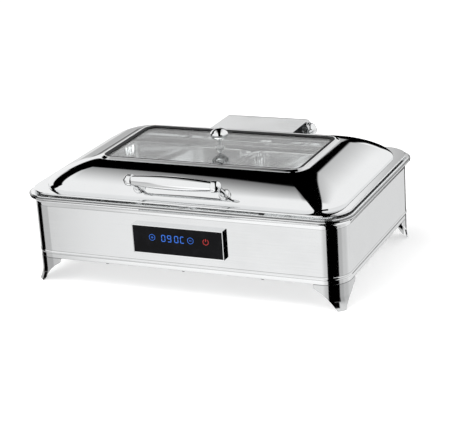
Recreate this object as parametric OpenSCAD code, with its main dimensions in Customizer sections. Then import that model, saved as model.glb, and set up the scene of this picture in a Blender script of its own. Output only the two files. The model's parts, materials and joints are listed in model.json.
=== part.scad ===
// Electric chafing dish: a steel water bath on bracket feet, with a hinged lid that has a window.
// X runs left to right, Y front to back and Z up. All sizes are in millimetres.

/* [Body] */
// Length of the rim, left to right
rim_w = 600; // [570:1:640]
// Depth of the rim, front to back
rim_d = 394; // [380:1:420]
// Corner radius of the rim
rim_r = 50; // [46:1:60]
// Overhang of the rim past the wall
rim_over = 10; // [8:0.5:12]
// Height of the rim's upper face above the table
rim_z = 159; // [156:1:170]
// Height of the lip round the rim
lip_h = 4; // [3:0.5:6]
// Height of the body's lower edge above the table
body_z = 45; // [42:1:48]
// Thickness of the body's sheet steel
sheet = 1.2; // [1:0.1:1.6]
// Width of the ledge inside the rim that carries the water pan
seat_w = 8; // [6:0.5:10]
// Width of the turned-in flange at the body's lower edge
turn_in = 12; // [11:0.5:14]
// Height of the moulding bead above the body's lower edge
bead_up = 11; // [9:0.5:14]
// Radius of the moulding bead
bead_r = 5.2; // [4:0.1:7]
// How far the moulding bead stands out
bead_out = 0.9; // [0.6:0.1:1.2]

/* [Feet] */
// Thickness of the feet
foot_t = 2.5; // [2:0.1:3]
// Straight run of a foot past the corner
foot_run = 14; // [10:0.5:18]
// How far the foot flares out at the table
flare_out = 6; // [3:0.5:7]
// Height at which the flare starts
flare_z = 22; // [18:1:26]
// Height above the table at which a foot's end turns into its arch
nose_z = 37; // [34:0.5:39]
// Radius of the nose between the end and the arch
nose_r = 4; // [2:0.5:5]
// Radius of the arch
arch_r = 71; // [60:1:90]
// Width of the toe on the table, from the outside of the corner
toe_w = 17; // [14:0.5:20]

/* [Pans] */
// Thickness of the pans' steel
pan_t = 1.4; // [1:0.1:1.6]
// Clearance between the water pan and its seat
pan_gap = 0.5; // [0.3:0.1:1]
// Width of the ledge that carries the food pans
ledge_w = 22; // [18:0.5:24]
// Depth of that ledge below the rim
ledge_drop = 9; // [7:0.5:12]
// Height of the water pan's bottom above the table
pan_z = 80; // [78:1:84]
// Corner radius of the water pan's tub
tub_r = 28; // [20:1:34]
// How far the food pans' rims reach over the ledge
bearing = 7; // [5:0.5:9]
// Gap between the two food pans
pan_space = 2; // [1:0.5:4]
// Width of a food pan's rim
pan_rim = 9; // [8:0.5:11]
// Depth of a food pan
pan_deep = 60; // [50:1:62]
// Corner radius of a food pan
pan_r = 30; // [22:1:36]
// Width of the bar between the food pans
bar_w = 16; // [12:0.5:17]

/* [Lid] */
// Inset of the lid's flange from the rim
lid_inset = 7; // [5:0.5:10]
// Gap between the water pan's rim and the lid's flange
lid_gap = 2.6; // [2:0.1:4]
// Thickness of the lid's flange
flange_t = 3; // [2.5:0.1:4]
// Flat width of the lid's flange
flange_w = 10; // [8:0.5:12]
// Width and height of the step between flange and dome
step_w = 6; // [4:0.5:8]
step_h = 2; // [1.5:0.1:3]
// Height of the dome above the step
dome_h = 38.5; // [34:0.5:44]
// Roundness of the dome's section, from 1 for a straight slope to 2 for an ellipse
dome_p = 1.45; // [1.2:0.05:2]
// Thickness of the lid's steel
lid_t = 1.4; // [1:0.1:2]
// Corner radius of the dome at its foot
dome_r = 56; // [46:1:64]

/* [Window] */
// Length of the window frame
frame_w = 388; // [360:1:410]
// Depth of the window frame
frame_d = 211; // [190:1:226]
// Corner radius of the window frame
frame_r = 30; // [24:1:36]
// Height of the window frame above the dome
frame_h = 3; // [2.8:0.1:6]
// Width of the window frame
frame_band = 7.5; // [7:0.5:9]
// Radius of the window frame's outer edge
frame_edge = 1.5; // [0.5:0.1:2.5]
// Thickness of the glass
glass_t = 4; // [3:0.5:5]
// How far the glass lies below the middle of the lid's steel
glass_drop = 1; // [0:0.1:1.5]
// Width of the gasket that shows beside the glass
gasket_show = 6.5; // [5:0.5:8]

/* [Vent knob] */
// Diameter of the knob
knob_d = 32; // [26:0.5:36]
// Height of the knob's cap
knob_h = 21; // [18:0.5:24]
// Height of the knob's underside above the glass
knob_up = 14.5; // [12:0.5:20]
// Diameter of the knob's stem
stem_d = 6; // [5:0.5:10]

/* [Handle] */
// Distance between the handle's two posts
handle_w = 158; // [130:1:200]
// Diameter of the grip at its middle and at its ends
grip_d = 23.5; // [20:0.5:26]
grip_end_d = 16; // [14:0.5:17]
// Diameter of the domed knuckles at the ends of the grip
knuckle_d = 20; // [19:0.5:23]
// Diameter of the posts
post_d = 10; // [8:0.5:14]
// Length of the posts, to the middle of the knuckles
post_l = 40; // [36:0.5:46]
// Slant of the posts above the level
post_tilt = 36; // [32:1:42]

/* [Front panel] */
// Width of the panel
panel_w = 168; // [150:1:190]
// Height of the panel
panel_h = 52; // [44:1:60]
// Height of the panel's middle above the table
panel_z = 100.5; // [96:0.5:105]
// How far the panel stands out of the wall
panel_out = 9; // [8:0.5:12]
// Thickness of the panel's glass
panel_glass_t = 3; // [2:0.1:3.5]
// Thickness of the panel's edge
panel_edge = 2; // [1.5:0.1:3]

/* [Hinge] */
// Width of the lid arm
arm_w = 160; // [130:1:190]
// Thickness of the lid arm
arm_t = 3; // [2.5:0.1:4]
// Outer radius of the lid arm's roll
roll_r = 19; // [17:0.5:22]
// Distance of the hinge pin behind the wall
pin_back = 35; // [34:0.5:40]
// Height of the hinge pin above the rim
pin_up = 20; // [18:0.5:24]
// Diameter of the hinge pin
pin_d = 8; // [6:0.5:10]
// Running clearance round the pin
run_gap = 0.06; // [0.02:0.01:0.1]
// Thickness of the bracket's ears
ear_t = 5; // [4:0.5:7]
// Gap between the lid arm and the bracket's ears
side_gap = 1; // [0.5:0.1:2]

/* [Heater and power] */
// Space between the heater plate and the ends of the tub above it
heater_in = 79.5; // [70:0.5:100]
// Space between the heater plate and the front and back of the tub
heater_in_d = 56.5; // [50:0.5:60]
// Thickness of the heater plate
heater_t = 4; // [3:0.5:5]
// Diameter of the heating element
element_d = 6.5; // [5:0.5:8]
// Distance between the element's legs
element_pitch = 40; // [34:1:44]
// Space between the element's straight legs and the ends of the heater plate
element_in = 50; // [44:1:70]
// Thickness of the bottom cover
cover_t = 1.2; // [1:0.1:2]
// Clearance between the bottom cover and the wall
cover_gap = 0.4; // [0.2:0.1:1]
// Width and depth of the power board
board_w = 60; // [56:1:64]
board_d = 130; // [120:1:140]
// Height of the board's standoffs
standoff_h = 6; // [5:0.5:8]
// Diameter of the inner wires
wire_d = 3; // [2:0.5:4]

/* [Hidden] */
$fn = 64;
steel = "#d9dcdf";
polished = "#eceeef";
black = "#151619";

// Body
wall_w = rim_w - 2 * rim_over;
wall_d = rim_d - 2 * rim_over;
wall_r = rim_r - rim_over;
cove_z = rim_z - lip_h - rim_over;
inner_y = wall_d / 2 - sheet;
cover_top = body_z + sheet + cover_t;
screw_in = turn_in / 2;

// Water pan and food pans
upper_w = wall_w - 2 * (seat_w + pan_gap);
upper_d = wall_d - 2 * (seat_w + pan_gap);
upper_r = wall_r - seat_w - pan_gap;
tub_w = upper_w - 2 * ledge_w;
tub_d = upper_d - 2 * ledge_w;
pan_lip = 3;
pan_top = rim_z + pan_t;
ledge_top = rim_z - ledge_drop + pan_t;
food_w = (tub_w - 2 * pan_t + 2 * bearing - pan_space) / 2;
food_d = tub_d - 2 * pan_t + 2 * bearing;
food_x = (food_w + pan_space) / 2;
bar_t = 2;
bar_h = 18;

// Lid
lid_z = pan_top + lid_gap;
flange_top = lid_z + flange_t;
foot_hw = rim_w / 2 - lid_inset - flange_w - step_w;
foot_hd = rim_d / 2 - lid_inset - flange_w - step_w;
dome_z = flange_top + step_h;
top_z = dome_z + dome_h;
land_w = 8;
dome_steps = 9;
corner_steps = 8;

// Window
lip_t = 1.8;
slot_web = 2.5;
seal_gap = 0.3;
gasket_in = frame_band + gasket_show;
glass_edge = land_w + slot_web + seal_gap;
glass_z = top_z - lid_t / 2 - glass_t / 2 - glass_drop;
gasket_z = min(glass_z, top_z - lid_t) - lip_t;
gasket_top = max(glass_z + glass_t, top_z) + lip_t;
frame_lip = 4;

// Hinge
pin_y = wall_d / 2 + pin_back;
pin_z = rim_z + pin_up;
arm_top = pin_z + roll_r;
ear_x = arm_w / 2 + side_gap;
ear_r = 14;
cap_h = 12;
bush_wall = 2;
cheek_t = 4;
bracket_t = 3;
bracket_gap = 2;
bracket_h = 43;
bracket_screw_in = 10.5;
bracket_high = cove_z - bracket_gap;
bracket_low = bracket_high - bracket_h;

// Handle and lid arm sit on the middle of one flat of the dome
handle_flat = 2;
arm_flat = 4;
base_d = 20;
base_h = 4;

// Fasteners: shank diameter and head diameter of the small and the large screws
small_d = 3;
small_head = 6;
bolt_d = 5;
bolt_head = 9;
hole_gap = 0.2;
screw_past = 3;
head_h = 2.4;
small_nut = 6.4;
small_nut_h = 2.4;
bolt_nut_h = 4;

// Heater and power
heater_w = tub_w - 2 * heater_in;
heater_d = tub_d - 2 * heater_in_d;
heater_z = pan_z - heater_t;
element_l = heater_w - 2 * element_in;
element_z = heater_z - element_d / 2;
element_y = 1.5 * element_pitch;
plate_r = 12;
clamp_t = 2;
clamp_w = 14;
clamp_leg = 12;
clamp_gap = 2;
clamp_y = element_y + element_d / 2 + clamp_leg / 2 + clamp_gap;
clamp_x = element_l * 0.35;
board_z = cover_top + standoff_h;
board_t = 1.6;
board_side = 15;
board_x = wall_w / 2 - sheet - board_side - board_w / 2;
board_top = board_z + board_t;
standoff_in = 6;
inlet_x = board_x - 25;
inlet_z = 72;
inlet_w = 28;
inlet_h = 20;
inlet_deep = 22;
inlet_plate_w = 50;
inlet_plate_h = 26;
inlet_plate_t = 3;
inlet_screw_x = 20;
inlet_wall = 2;
inlet_floor = 6;

// Dome section at a share u of its way up: how far in it has come and how high it is, both 0 to 1
function dome_in(u) = 1 - pow(cos(90 * u), 2 / dome_p);
function dome_up(u) = pow(sin(90 * u), 2 / dome_p);

// One station of the lid: half width, half depth, corner radius and height
function dome_station(u, t) = [
    foot_hw + (frame_w / 2 - foot_hw) * dome_in(u) - t,
    foot_hd + (frame_d / 2 - foot_hd) * dome_in(u) - t,
    dome_r + (frame_r - dome_r) * dome_in(u) - t / 2,
    dome_z + dome_h * dome_up(u) - t
];

// A flat of the dome between two stations, in the plane of the front slope: middle, slope and depth
function flat_mid(k) = (dome_station(k / dome_steps, 0) + dome_station((k + 1) / dome_steps, 0)) / 2;
function flat_rise(k) = dome_station((k + 1) / dome_steps, 0) - dome_station(k / dome_steps, 0);
function flat_slope(k) = atan2(flat_rise(k)[3], -flat_rise(k)[1]);
function flat_depth(k) = lid_t * (sin(flat_slope(k)) + cos(flat_slope(k)));

// Handle: where a post meets the lid, and where the grip lies
handle_y = -flat_mid(handle_flat)[1];
handle_z = flat_mid(handle_flat)[3];
handle_slope = flat_slope(handle_flat);
grip_y = handle_y - base_h * sin(handle_slope) - post_l * cos(post_tilt);
grip_z = handle_z + base_h * cos(handle_slope) + post_l * sin(post_tilt);
grip_in = 5;
grip_l = handle_w - knuckle_d + 2 * grip_in;

// The origin is under the middle of the whole part
place_y = -(pin_y + roll_r + grip_y - grip_d / 2) / 2;

module place() {
    translate([0, place_y, 0]) children();
}

// Shared shapes

module round_rect(w, d, r) {
    square([w - 2 * r, d], center = true);
    square([w, d - 2 * r], center = true);
    for (x = [-1, 1], y = [-1, 1])
        translate([x * (w / 2 - r), y * (d / 2 - r)]) circle(r);
}

// Flat ring between two rounded rectangles
module ring_plate(w, d, r, in, in_r, z, h) {
    translate([0, 0, z]) linear_extrude(h) difference() {
        round_rect(w, d, r);
        round_rect(w - 2 * in, d - 2 * in, in_r);
    }
}

module upright_wall(w, d, r, t, z, h) {
    ring_plate(w, d, r, t, r - t, z, h);
}

// Carries a section round a rounded rectangle; the section's x is the distance out from the outline
module around(w, d, r) {
    for (side = [0 : 3]) {
        run = (side % 2 == 0 ? d : w) - 2 * r;
        reach = (side % 2 == 0 ? w : d) / 2;
        rotate(90 * side) {
            translate([reach, run / 2, 0]) rotate([90, 0, 0]) linear_extrude(run) children();
            translate([reach - r, run / 2, 0]) rotate_extrude(angle = 90) translate([r, 0]) children();
        }
    }
}

// A closed skin through stations of rounded rectangles, the last joined to the first
function station_ring(s) = [
    for (c = [0 : 3], i = [0 : corner_steps])
        let (a = 90 * (c + i / corner_steps), x = c == 0 || c == 3 ? 1 : -1, y = c < 2 ? 1 : -1)
            [x * (s[0] - s[2]) + s[2] * cos(a), y * (s[1] - s[2]) + s[2] * sin(a), s[3]]
];

module ring_loft(stations) {
    n = 4 * (corner_steps + 1);
    m = len(stations);
    polyhedron(
        points = [for (s = stations) each station_ring(s)],
        faces = [
            for (j = [0 : m - 1], i = [0 : n - 1])
                let (k = (j + 1) % m, l = (i + 1) % n)
                    each [[j * n + i, k * n + l, j * n + l], [j * n + i, k * n + i, k * n + l]]
        ]
    );
}

// Extrudes a section drawn in the YZ plane along X, from x to x + w
module along_x(x, w) {
    translate([x, 0, 0]) rotate([90, 0, 90]) linear_extrude(w) children();
}

// A screw that points up, its head under z = 0
module screw_up(d, head, l) {
    cylinder(d = d, h = l);
    translate([0, 0, -head_h]) cylinder(d = head, h = head_h);
}

module hex_nut(bore, across, h) {
    difference() {
        cylinder(d = across, h = h, $fn = 6);
        translate([0, 0, -1]) cylinder(d = bore, h = h + 2);
    }
}

// A thin wire along points; side is a direction that the wire never takes
wire_sides = 8;
function unit(v) = v / norm(v);
function heading(points, i) =
    i == 0 ? unit(points[1] - points[0])
    : i == len(points) - 1 ? unit(points[i] - points[i - 1])
    : unit(unit(points[i] - points[i - 1]) + unit(points[i + 1] - points[i]));
function wire_ring(p, t, side, d) =
    let (a = unit(cross(t, side)), b = cross(t, a))
        [for (k = [0 : wire_sides - 1])
            let (turn = 360 * k / wire_sides) p + d / 2 * (cos(turn) * a + sin(turn) * b)];

module wire(points, side, d) {
    n = wire_sides;
    m = len(points);
    polyhedron(
        points = [for (i = [0 : m - 1]) each wire_ring(points[i], heading(points, i), side, d)],
        faces = [
            [for (k = [0 : n - 1]) k],
            for (i = [0 : m - 2], k = [0 : n - 1])
                let (a = i * n, b = (i + 1) * n, l = (k + 1) % n)
                    each [[a + k, b + l, a + l], [a + k, b + k, b + l]],
            [for (k = [n - 1 : -1 : 0]) (m - 1) * n + k]
        ]
    );
}

// Body

module body_section() {
    translate([-sheet, body_z]) square([sheet, cove_z - body_z]);
    intersection() {
        translate([bead_out - bead_r, body_z + bead_up]) circle(bead_r);
        translate([-sheet, body_z]) square([sheet + bead_out, 2 * bead_up]);
    }
    translate([-turn_in, body_z]) square([turn_in, sheet]);
    intersection() {
        translate([rim_over, cove_z]) difference() {
            circle(rim_over + sheet);
            circle(rim_over);
        }
        translate([-sheet, cove_z]) square(rim_over + sheet);
    }
    translate([rim_over - sheet, rim_z - lip_h]) square([sheet, lip_h]);
    translate([-seat_w, rim_z - sheet]) square([rim_over + seat_w, sheet]);
}

// Places of the screws that hold the bottom cover, and of those that hold the feet
cover_spots = [
    for (x = [-1, 0, 1], y = [-1, 1]) [x * wall_w / 4, y * (wall_d / 2 - screw_in)],
    for (x = [-1, 1]) [x * (wall_w / 2 - screw_in), 0]
];
foot_angles = [22, 68];
foot_spots = [
    for (x = [-1, 1], y = [-1, 1], a = foot_angles)
        [x * (wall_w / 2 - wall_r + (wall_r - screw_in) * cos(a)),
         y * (wall_d / 2 - wall_r + (wall_r - screw_in) * sin(a))]
];
ledge_in = 3;
opening_in = 6;
stud_l = 7;
bezel_stud_in = (panel_edge + ledge_in) / 2;
bezel_spots = [
    for (x = [-1, 1], z = [-1, 1])
        [x * (panel_w / 2 - bezel_stud_in), panel_z + z * (panel_h / 2 - bezel_stud_in)]
];
bracket_z = [bracket_low + bracket_screw_in, bracket_high - bracket_screw_in];
bracket_spots = [for (x = [-1, 1], z = bracket_z) [x * arm_w * 0.3, z]];
inlet_spots = [for (x = [-1, 1]) [inlet_x + x * inlet_screw_x, inlet_z]];

// Bores along Y at given places, between two values of y
module bores_y(spots, d, y0, y1) {
    for (s = spots) translate([s[0], y1, s[1]]) rotate([90, 0, 0]) cylinder(d = d, h = y1 - y0);
}

module bores_z(spots, d, z0, z1) {
    for (s = spots) translate([s[0], s[1], z0]) cylinder(d = d, h = z1 - z0);
}

module body_shell() color(steel) place() difference() {
    around(wall_w, wall_d, wall_r) body_section();
    opening_w = panel_w - 2 * (panel_edge + opening_in);
    opening_h = panel_h - 2 * (panel_edge + opening_in);
    translate([-opening_w / 2, -wall_d / 2 - 1, panel_z - opening_h / 2])
        cube([opening_w, sheet + 2, opening_h]);
    bores_y(bezel_spots, small_d + 2 * hole_gap, -wall_d / 2 - 1, -inner_y + 1);
    bores_y(bracket_spots, bolt_d + 2 * hole_gap, inner_y - 1, wall_d / 2 + 1);
    translate([inlet_x - inlet_w / 2 - hole_gap, inner_y - 1, inlet_z - inlet_h / 2 - hole_gap])
        cube([inlet_w + 2 * hole_gap, sheet + 2, inlet_h + 2 * hole_gap]);
    bores_y(inlet_spots, small_d + 2 * hole_gap, inner_y - 1, wall_d / 2 + 1);
    bores_z(cover_spots, small_d + 2 * hole_gap, body_z - 1, body_z + sheet + 1);
    bores_z(foot_spots, small_d + 2 * hole_gap, body_z - 1, body_z + sheet + 1);
}

module bottom_cover() color(steel) place() difference() {
    slot_l = 44;
    slot_w = 4;
    slot_step = 16;
    translate([0, 0, body_z + sheet]) linear_extrude(cover_t)
        round_rect(wall_w - 2 * (sheet + cover_gap), wall_d - 2 * (sheet + cover_gap),
                   wall_r - sheet - cover_gap);
    for (x = [-1, 1], k = [-3 : 3])
        translate([x * wall_w / 5 - slot_l / 2, k * slot_step - slot_w / 2, body_z])
            cube([slot_l, slot_w, sheet + cover_t + 1]);
    bores_z(cover_spots, small_d + 2 * hole_gap, body_z, cover_top + 1);
    bores_z(foot_spots, small_d + 2 * hole_gap, body_z, cover_top + 1);
}

module cover_screws() color("gray") place()
    for (s = cover_spots)
        translate([s[0], s[1], body_z]) screw_up(small_d, small_head, sheet + cover_t + screw_past);

// Feet

module foot_section() {
    curl = (flare_z * flare_z + flare_out * flare_out) / (2 * flare_out);
    translate([-foot_t, flare_z]) square([foot_t, body_z - flare_z]);
    translate([-turn_in, body_z - foot_t]) square([turn_in, foot_t]);
    intersection() {
        translate([curl, flare_z]) difference() {
            circle(curl + foot_t, $fn = 256);
            circle(curl, $fn = 256);
        }
        translate([-foot_t, 0]) square([flare_out + foot_t + 1, flare_z]);
    }
}

// The arch is part of a circle from the end of a flank to the toe; x runs from the corner's centre out
arch_from = [-foot_run, nose_z];
arch_to = [wall_r - toe_w, 0];
arch_half = (arch_to - arch_from) / 2;
arch_sink = sqrt(1 - pow(norm(arch_half) / arch_r, 2)) * arch_r / norm(arch_half);
arch_mid = arch_from + arch_half + arch_sink * [arch_half[1], -arch_half[0]];
nose_x = nose_r - foot_run;
nose_mid = [nose_x, arch_mid[1] + sqrt(pow(arch_r + nose_r, 2) - pow(nose_x - arch_mid[0], 2))];
nose_end = arch_mid + (nose_mid - arch_mid) * arch_r / (arch_r + nose_r);

// What is cut from one flank of a foot
module foot_arch() {
    difference() {
        translate([-foot_run - 1, -1]) square([nose_end[0] + foot_run + 1, nose_mid[1] + 1]);
        translate(nose_mid) circle(nose_r);
    }
    translate(arch_mid) circle(arch_r, $fn = 256);
}

module foot(x, y) color(steel) place()
    mirror([x < 0 ? 1 : 0, 0, 0]) mirror([0, y < 0 ? 1 : 0, 0]) difference() {
        far = wall_r + flare_out + foot_t + 1;
        translate([wall_w / 2 - wall_r, wall_d / 2 - wall_r, 0]) difference() {
            union() {
                rotate_extrude(angle = 90) translate([wall_r, 0]) foot_section();
                translate([wall_r, 0, 0]) rotate([90, 0, 0]) linear_extrude(foot_run) foot_section();
                translate([-foot_run, wall_r, 0]) rotate([90, 0, 90]) linear_extrude(foot_run) foot_section();
            }
            translate([0, far, 0]) rotate([90, 0, 0]) linear_extrude(far) foot_arch();
            rotate([90, 0, 90]) linear_extrude(far) foot_arch();
        }
        bores_z([for (s = foot_spots) if (s[0] > 0 && s[1] > 0) s], small_d + 2 * hole_gap,
                body_z - foot_t - 1, body_z + 1);
    }

module foot_front_left() foot(-1, -1);
module foot_front_right() foot(1, -1);
module foot_back_left() foot(-1, 1);
module foot_back_right() foot(1, 1);

module foot_screws() color("gray") place()
    for (s = foot_spots)
        translate([s[0], s[1], body_z - foot_t])
            screw_up(small_d, small_head, foot_t + sheet + cover_t + screw_past);

// Pans

module water_pan() color(steel) place() {
    rim_out = seat_w + pan_gap + rim_over - pan_lip;
    ring_plate(upper_w + 2 * rim_out, upper_d + 2 * rim_out, upper_r + rim_out,
               rim_out + pan_t, upper_r - pan_t, rim_z, pan_t);
    upright_wall(upper_w, upper_d, upper_r, pan_t, ledge_top - pan_t, pan_top - ledge_top + pan_t);
    ring_plate(upper_w, upper_d, upper_r, ledge_w + pan_t, tub_r - pan_t, ledge_top - pan_t, pan_t);
    upright_wall(tub_w, tub_d, tub_r, pan_t, pan_z, ledge_top - pan_z);
    translate([0, 0, pan_z]) linear_extrude(pan_t) round_rect(tub_w, tub_d, tub_r);
}

module divider_bar() color(steel) place() {
    bar_l = tub_d - 2 * pan_t;
    translate([-bar_w / 2, -bar_l / 2, ledge_top - bar_t]) cube([bar_w, bar_l, bar_t]);
    translate([-bar_t / 2, -bar_l / 2, ledge_top - bar_h]) cube([bar_t, bar_l, bar_h]);
}

module food_pan(x) color(polished) place() translate([x, 0, 0]) {
    inner = pan_r - pan_rim;
    ring_plate(food_w, food_d, pan_r, pan_rim + pan_t, inner, ledge_top, pan_t);
    upright_wall(food_w - 2 * pan_rim, food_d - 2 * pan_rim, inner + pan_t, pan_t,
                 ledge_top + pan_t - pan_deep, pan_deep);
    translate([0, 0, ledge_top + pan_t - pan_deep]) linear_extrude(pan_t)
        round_rect(food_w - 2 * pan_rim, food_d - 2 * pan_rim, inner + pan_t);
}

module food_pan_left() food_pan(-food_x);
module food_pan_right() food_pan(food_x);

// Heater

clamp_spots = [for (x = [-1, 1], y = [-1, 1]) [x * clamp_x, y * clamp_y]];

module heater_plate() color("silver") place() difference() {
    translate([0, 0, heater_z]) linear_extrude(heater_t) round_rect(heater_w, heater_d, plate_r);
    bores_z(clamp_spots, small_d + 2 * hole_gap, heater_z - 1, heater_z + heater_t / 2);
}

element_lead = 20;

// Four legs joined by three bends, with both ends on the right
module heating_element() color("dimgray") place() translate([0, 0, element_z]) {
    for (k = [0 : 3]) {
        ends = k == 0 || k == 3 ? element_lead : 0;
        translate([-element_l / 2, (k - 1.5) * element_pitch, 0]) rotate([0, 90, 0])
            cylinder(d = element_d, h = element_l + ends);
    }
    for (k = [-1, 1])
        translate([-element_l / 2, k * element_pitch, 0]) rotate(90) rotate_extrude(angle = 180)
            translate([element_pitch / 2, 0]) circle(d = element_d);
    translate([element_l / 2, 0, 0]) rotate(-90) rotate_extrude(angle = 180)
        translate([element_pitch / 2, 0]) circle(d = element_d);
}

module heater_clamps() color("gray") place() difference() {
    bar_z = heater_z - element_d - clamp_t;
    for (x = [-1, 1]) translate([x * clamp_x - clamp_w / 2, 0, bar_z]) {
        translate([0, -clamp_y - clamp_leg / 2, 0]) cube([clamp_w, 2 * clamp_y + clamp_leg, clamp_t]);
        for (y = [-1, 1])
            translate([0, y * clamp_y - clamp_leg / 2, 0]) cube([clamp_w, clamp_leg, element_d + clamp_t]);
    }
    bores_z(clamp_spots, small_d + 2 * hole_gap, bar_z - 1, heater_z + 1);
}

module clamp_screws() color("gray") place()
    for (s = clamp_spots)
        translate([s[0], s[1], heater_z - element_d - clamp_t])
            screw_up(small_d, small_head, element_d + clamp_t + heater_t / 2);

probe_x = heater_w / 2 + 25;
probe_d = 5;
block_l = 18;
block_h = 9;
cutout_d = 16;
cutout_h = 8;
cutout_tab_l = 30;
cutout_tab_w = 10;
cutout_tab_t = 1;

module probe_block() color("silver") place() difference() {
    translate([probe_x - block_l / 2, -block_l / 2, pan_z - block_h]) cube([block_l, block_l, block_h]);
    translate([probe_x, -block_l, pan_z - block_h / 2]) rotate([-90, 0, 0])
        cylinder(d = probe_d + 2 * run_gap, h = 2 * block_l);
}

module temperature_probe() color("gray") place()
    translate([probe_x, -block_l, pan_z - block_h / 2]) rotate([-90, 0, 0])
        cylinder(d = probe_d, h = 2 * block_l);

module thermal_cutout() color("tan") place() translate([-probe_x, 0, 0]) {
    translate([0, 0, pan_z - cutout_h]) cylinder(d = cutout_d, h = cutout_h);
    translate([-cutout_tab_l / 2, -cutout_tab_w / 2, pan_z - cutout_tab_t])
        cube([cutout_tab_l, cutout_tab_w, cutout_tab_t]);
}

// Front panel

panel_y = -wall_d / 2 - panel_out;
glass_set = 0.3;

module panel_box(in, y0, y1) {
    translate([-panel_w / 2 + in, y0, panel_z - panel_h / 2 + in])
        cube([panel_w - 2 * in, y1 - y0, panel_h - 2 * in]);
}

module control_bezel() color("silver") place() {
    ledge_y = panel_y + glass_set + panel_glass_t;
    difference() {
        panel_box(0, panel_y, -wall_d / 2);
        panel_box(panel_edge, panel_y - 1, ledge_y);
        panel_box(panel_edge + ledge_in, panel_y - 1, -wall_d / 2 + 1);
    }
    bores_y(bezel_spots, small_d, -wall_d / 2, -inner_y + stud_l);
}

module control_glass() color(black) place()
    panel_box(panel_edge + hole_gap, panel_y + glass_set, panel_y + glass_set + panel_glass_t);

module display_board() color("darkgreen") place() {
    board_y = panel_y + glass_set + panel_glass_t;
    panel_box(panel_edge + ledge_in + hole_gap, board_y, board_y + board_t);
}

module bezel_nuts() color("gray") place()
    for (s = bezel_spots)
        translate([s[0], -inner_y, s[1]]) rotate([-90, 0, 0]) hex_nut(small_d, small_nut, small_nut_h);

// Power electronics

standoff_spots = [
    for (x = [-1, 1], y = [-1, 1])
        [board_x + x * (board_w / 2 - standoff_in), y * (board_d / 2 - standoff_in)]
];

module power_board() color("darkgreen") place() difference() {
    translate([board_x - board_w / 2, -board_d / 2, board_z]) cube([board_w, board_d, board_t]);
    bores_z(standoff_spots, small_d + 2 * hole_gap, board_z - 1, board_top + 1);
}

module board_standoffs() color("goldenrod") place()
    for (s = standoff_spots) translate([s[0], s[1], cover_top]) {
        cylinder(d = 2 * small_d, h = standoff_h);
        cylinder(d = small_d, h = standoff_h + board_t + 2);
    }

relay_x = board_x - 18;
relay_y = -40;
relay_w = 20;
relay_d = 16;
relay_h = 15;
core_w = 34;
core_d = 28;
core_h = 17;
core_y = -12;

module relay() color("royalblue") place()
    translate([relay_x, relay_y, board_top]) cube([relay_w, relay_d, relay_h]);

module transformer() color("#33373c") place()
    translate([board_x - core_w / 2, core_y, board_top]) cube([core_w, core_d, core_h]);

terminal_x = board_x - 22;
terminal_y = 34;
terminal_w = 44;
terminal_d = 12;
terminal_h = 11;

module terminal_block() color("seagreen") place()
    translate([terminal_x, terminal_y, board_top]) cube([terminal_w, terminal_d, terminal_h]);

module power_inlet() color(black) place() difference() {
    union() {
        translate([inlet_x - inlet_plate_w / 2, wall_d / 2, inlet_z - inlet_plate_h / 2])
            cube([inlet_plate_w, inlet_plate_t, inlet_plate_h]);
        translate([inlet_x - inlet_w / 2, wall_d / 2 - inlet_deep, inlet_z - inlet_h / 2])
            cube([inlet_w, inlet_deep, inlet_h]);
    }
    translate([inlet_x - inlet_w / 2 + inlet_wall, wall_d / 2 - inlet_deep + inlet_floor,
               inlet_z - inlet_h / 2 + inlet_wall])
        cube([inlet_w - 2 * inlet_wall, inlet_deep, inlet_h - 2 * inlet_wall]);
    bores_y(inlet_spots, small_d + 2 * hole_gap, wall_d / 2 - 1, wall_d / 2 + inlet_plate_t + 1);
}

blade_t = 2;
blade_w = 4;
blade_up = 2;
blade_sunk = 2;
blade_l = inlet_deep - inlet_floor - blade_sunk;

module inlet_pins() color("silver") place()
    for (k = [-1 : 1])
        translate([inlet_x + k * pin_pitch - blade_t / 2, wall_d / 2 - inlet_deep + inlet_floor,
                   inlet_z + (k == 0 ? blade_up : -blade_up) - blade_w / 2])
            cube([blade_t, blade_l, blade_w]);

module inlet_screws() color("gray") place()
    for (s = inlet_spots) translate([s[0], wall_d / 2 + inlet_plate_t, s[1]]) rotate([90, 0, 0])
        screw_up(small_d, small_head, inlet_plate_t + sheet + 4);

// Wiring, each wire from face to face

inlet_back = wall_d / 2 - inlet_deep;
terminal_back = terminal_y + terminal_d;
lead_z = board_top + terminal_h / 2;
wire_run = 14;
wire_turn = 25;
wire_pitch = 6;
mains_x = terminal_x + 28;
pin_pitch = 7;

module mains_wires() color("sienna") place()
    for (k = [-1 : 1]) {
        near_x = inlet_x + k * pin_pitch;
        far_x = mains_x + k * wire_pitch;
        wire([[near_x, inlet_back, inlet_z], [near_x, inlet_back - wire_run, inlet_z],
              [far_x, terminal_back + wire_turn, lead_z], [far_x, terminal_back, lead_z]], [0, 0, 1], wire_d);
    }

element_end = element_l / 2 + element_lead;
relay_lead = [relay_x + relay_w / 2, relay_y, board_top + relay_h / 2];

module heater_wires() color("white") place() {
    lead_x = terminal_x + 8;
    wire([[element_end, element_y, element_z], [element_end + 12, element_y, element_z],
          [lead_x - 10, terminal_back + 14, lead_z], [lead_x, terminal_back + 8, lead_z],
          [lead_x, terminal_back, lead_z]], [0, 0, 1], wire_d);
    wire([[element_end, -element_y, element_z], [element_end + 12, -element_y, element_z],
          relay_lead - [10, 16, 0], relay_lead - [0, 8, 0], relay_lead], [0, 0, 1], wire_d);
}

module probe_wire() color("dimgray") place() {
    probe_z = pan_z - block_h / 2;
    far_x = board_x - board_w / 2 + 5;
    turn_y = -block_l - 12;
    wire([[probe_x, -block_l, probe_z], [probe_x, -block_l - 8, probe_z], [probe_x + 2, turn_y, probe_z - 6],
          [far_x, turn_y, board_top + 5], [far_x, turn_y, board_top]], [0, 1, 0.3], wire_d);
}

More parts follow.
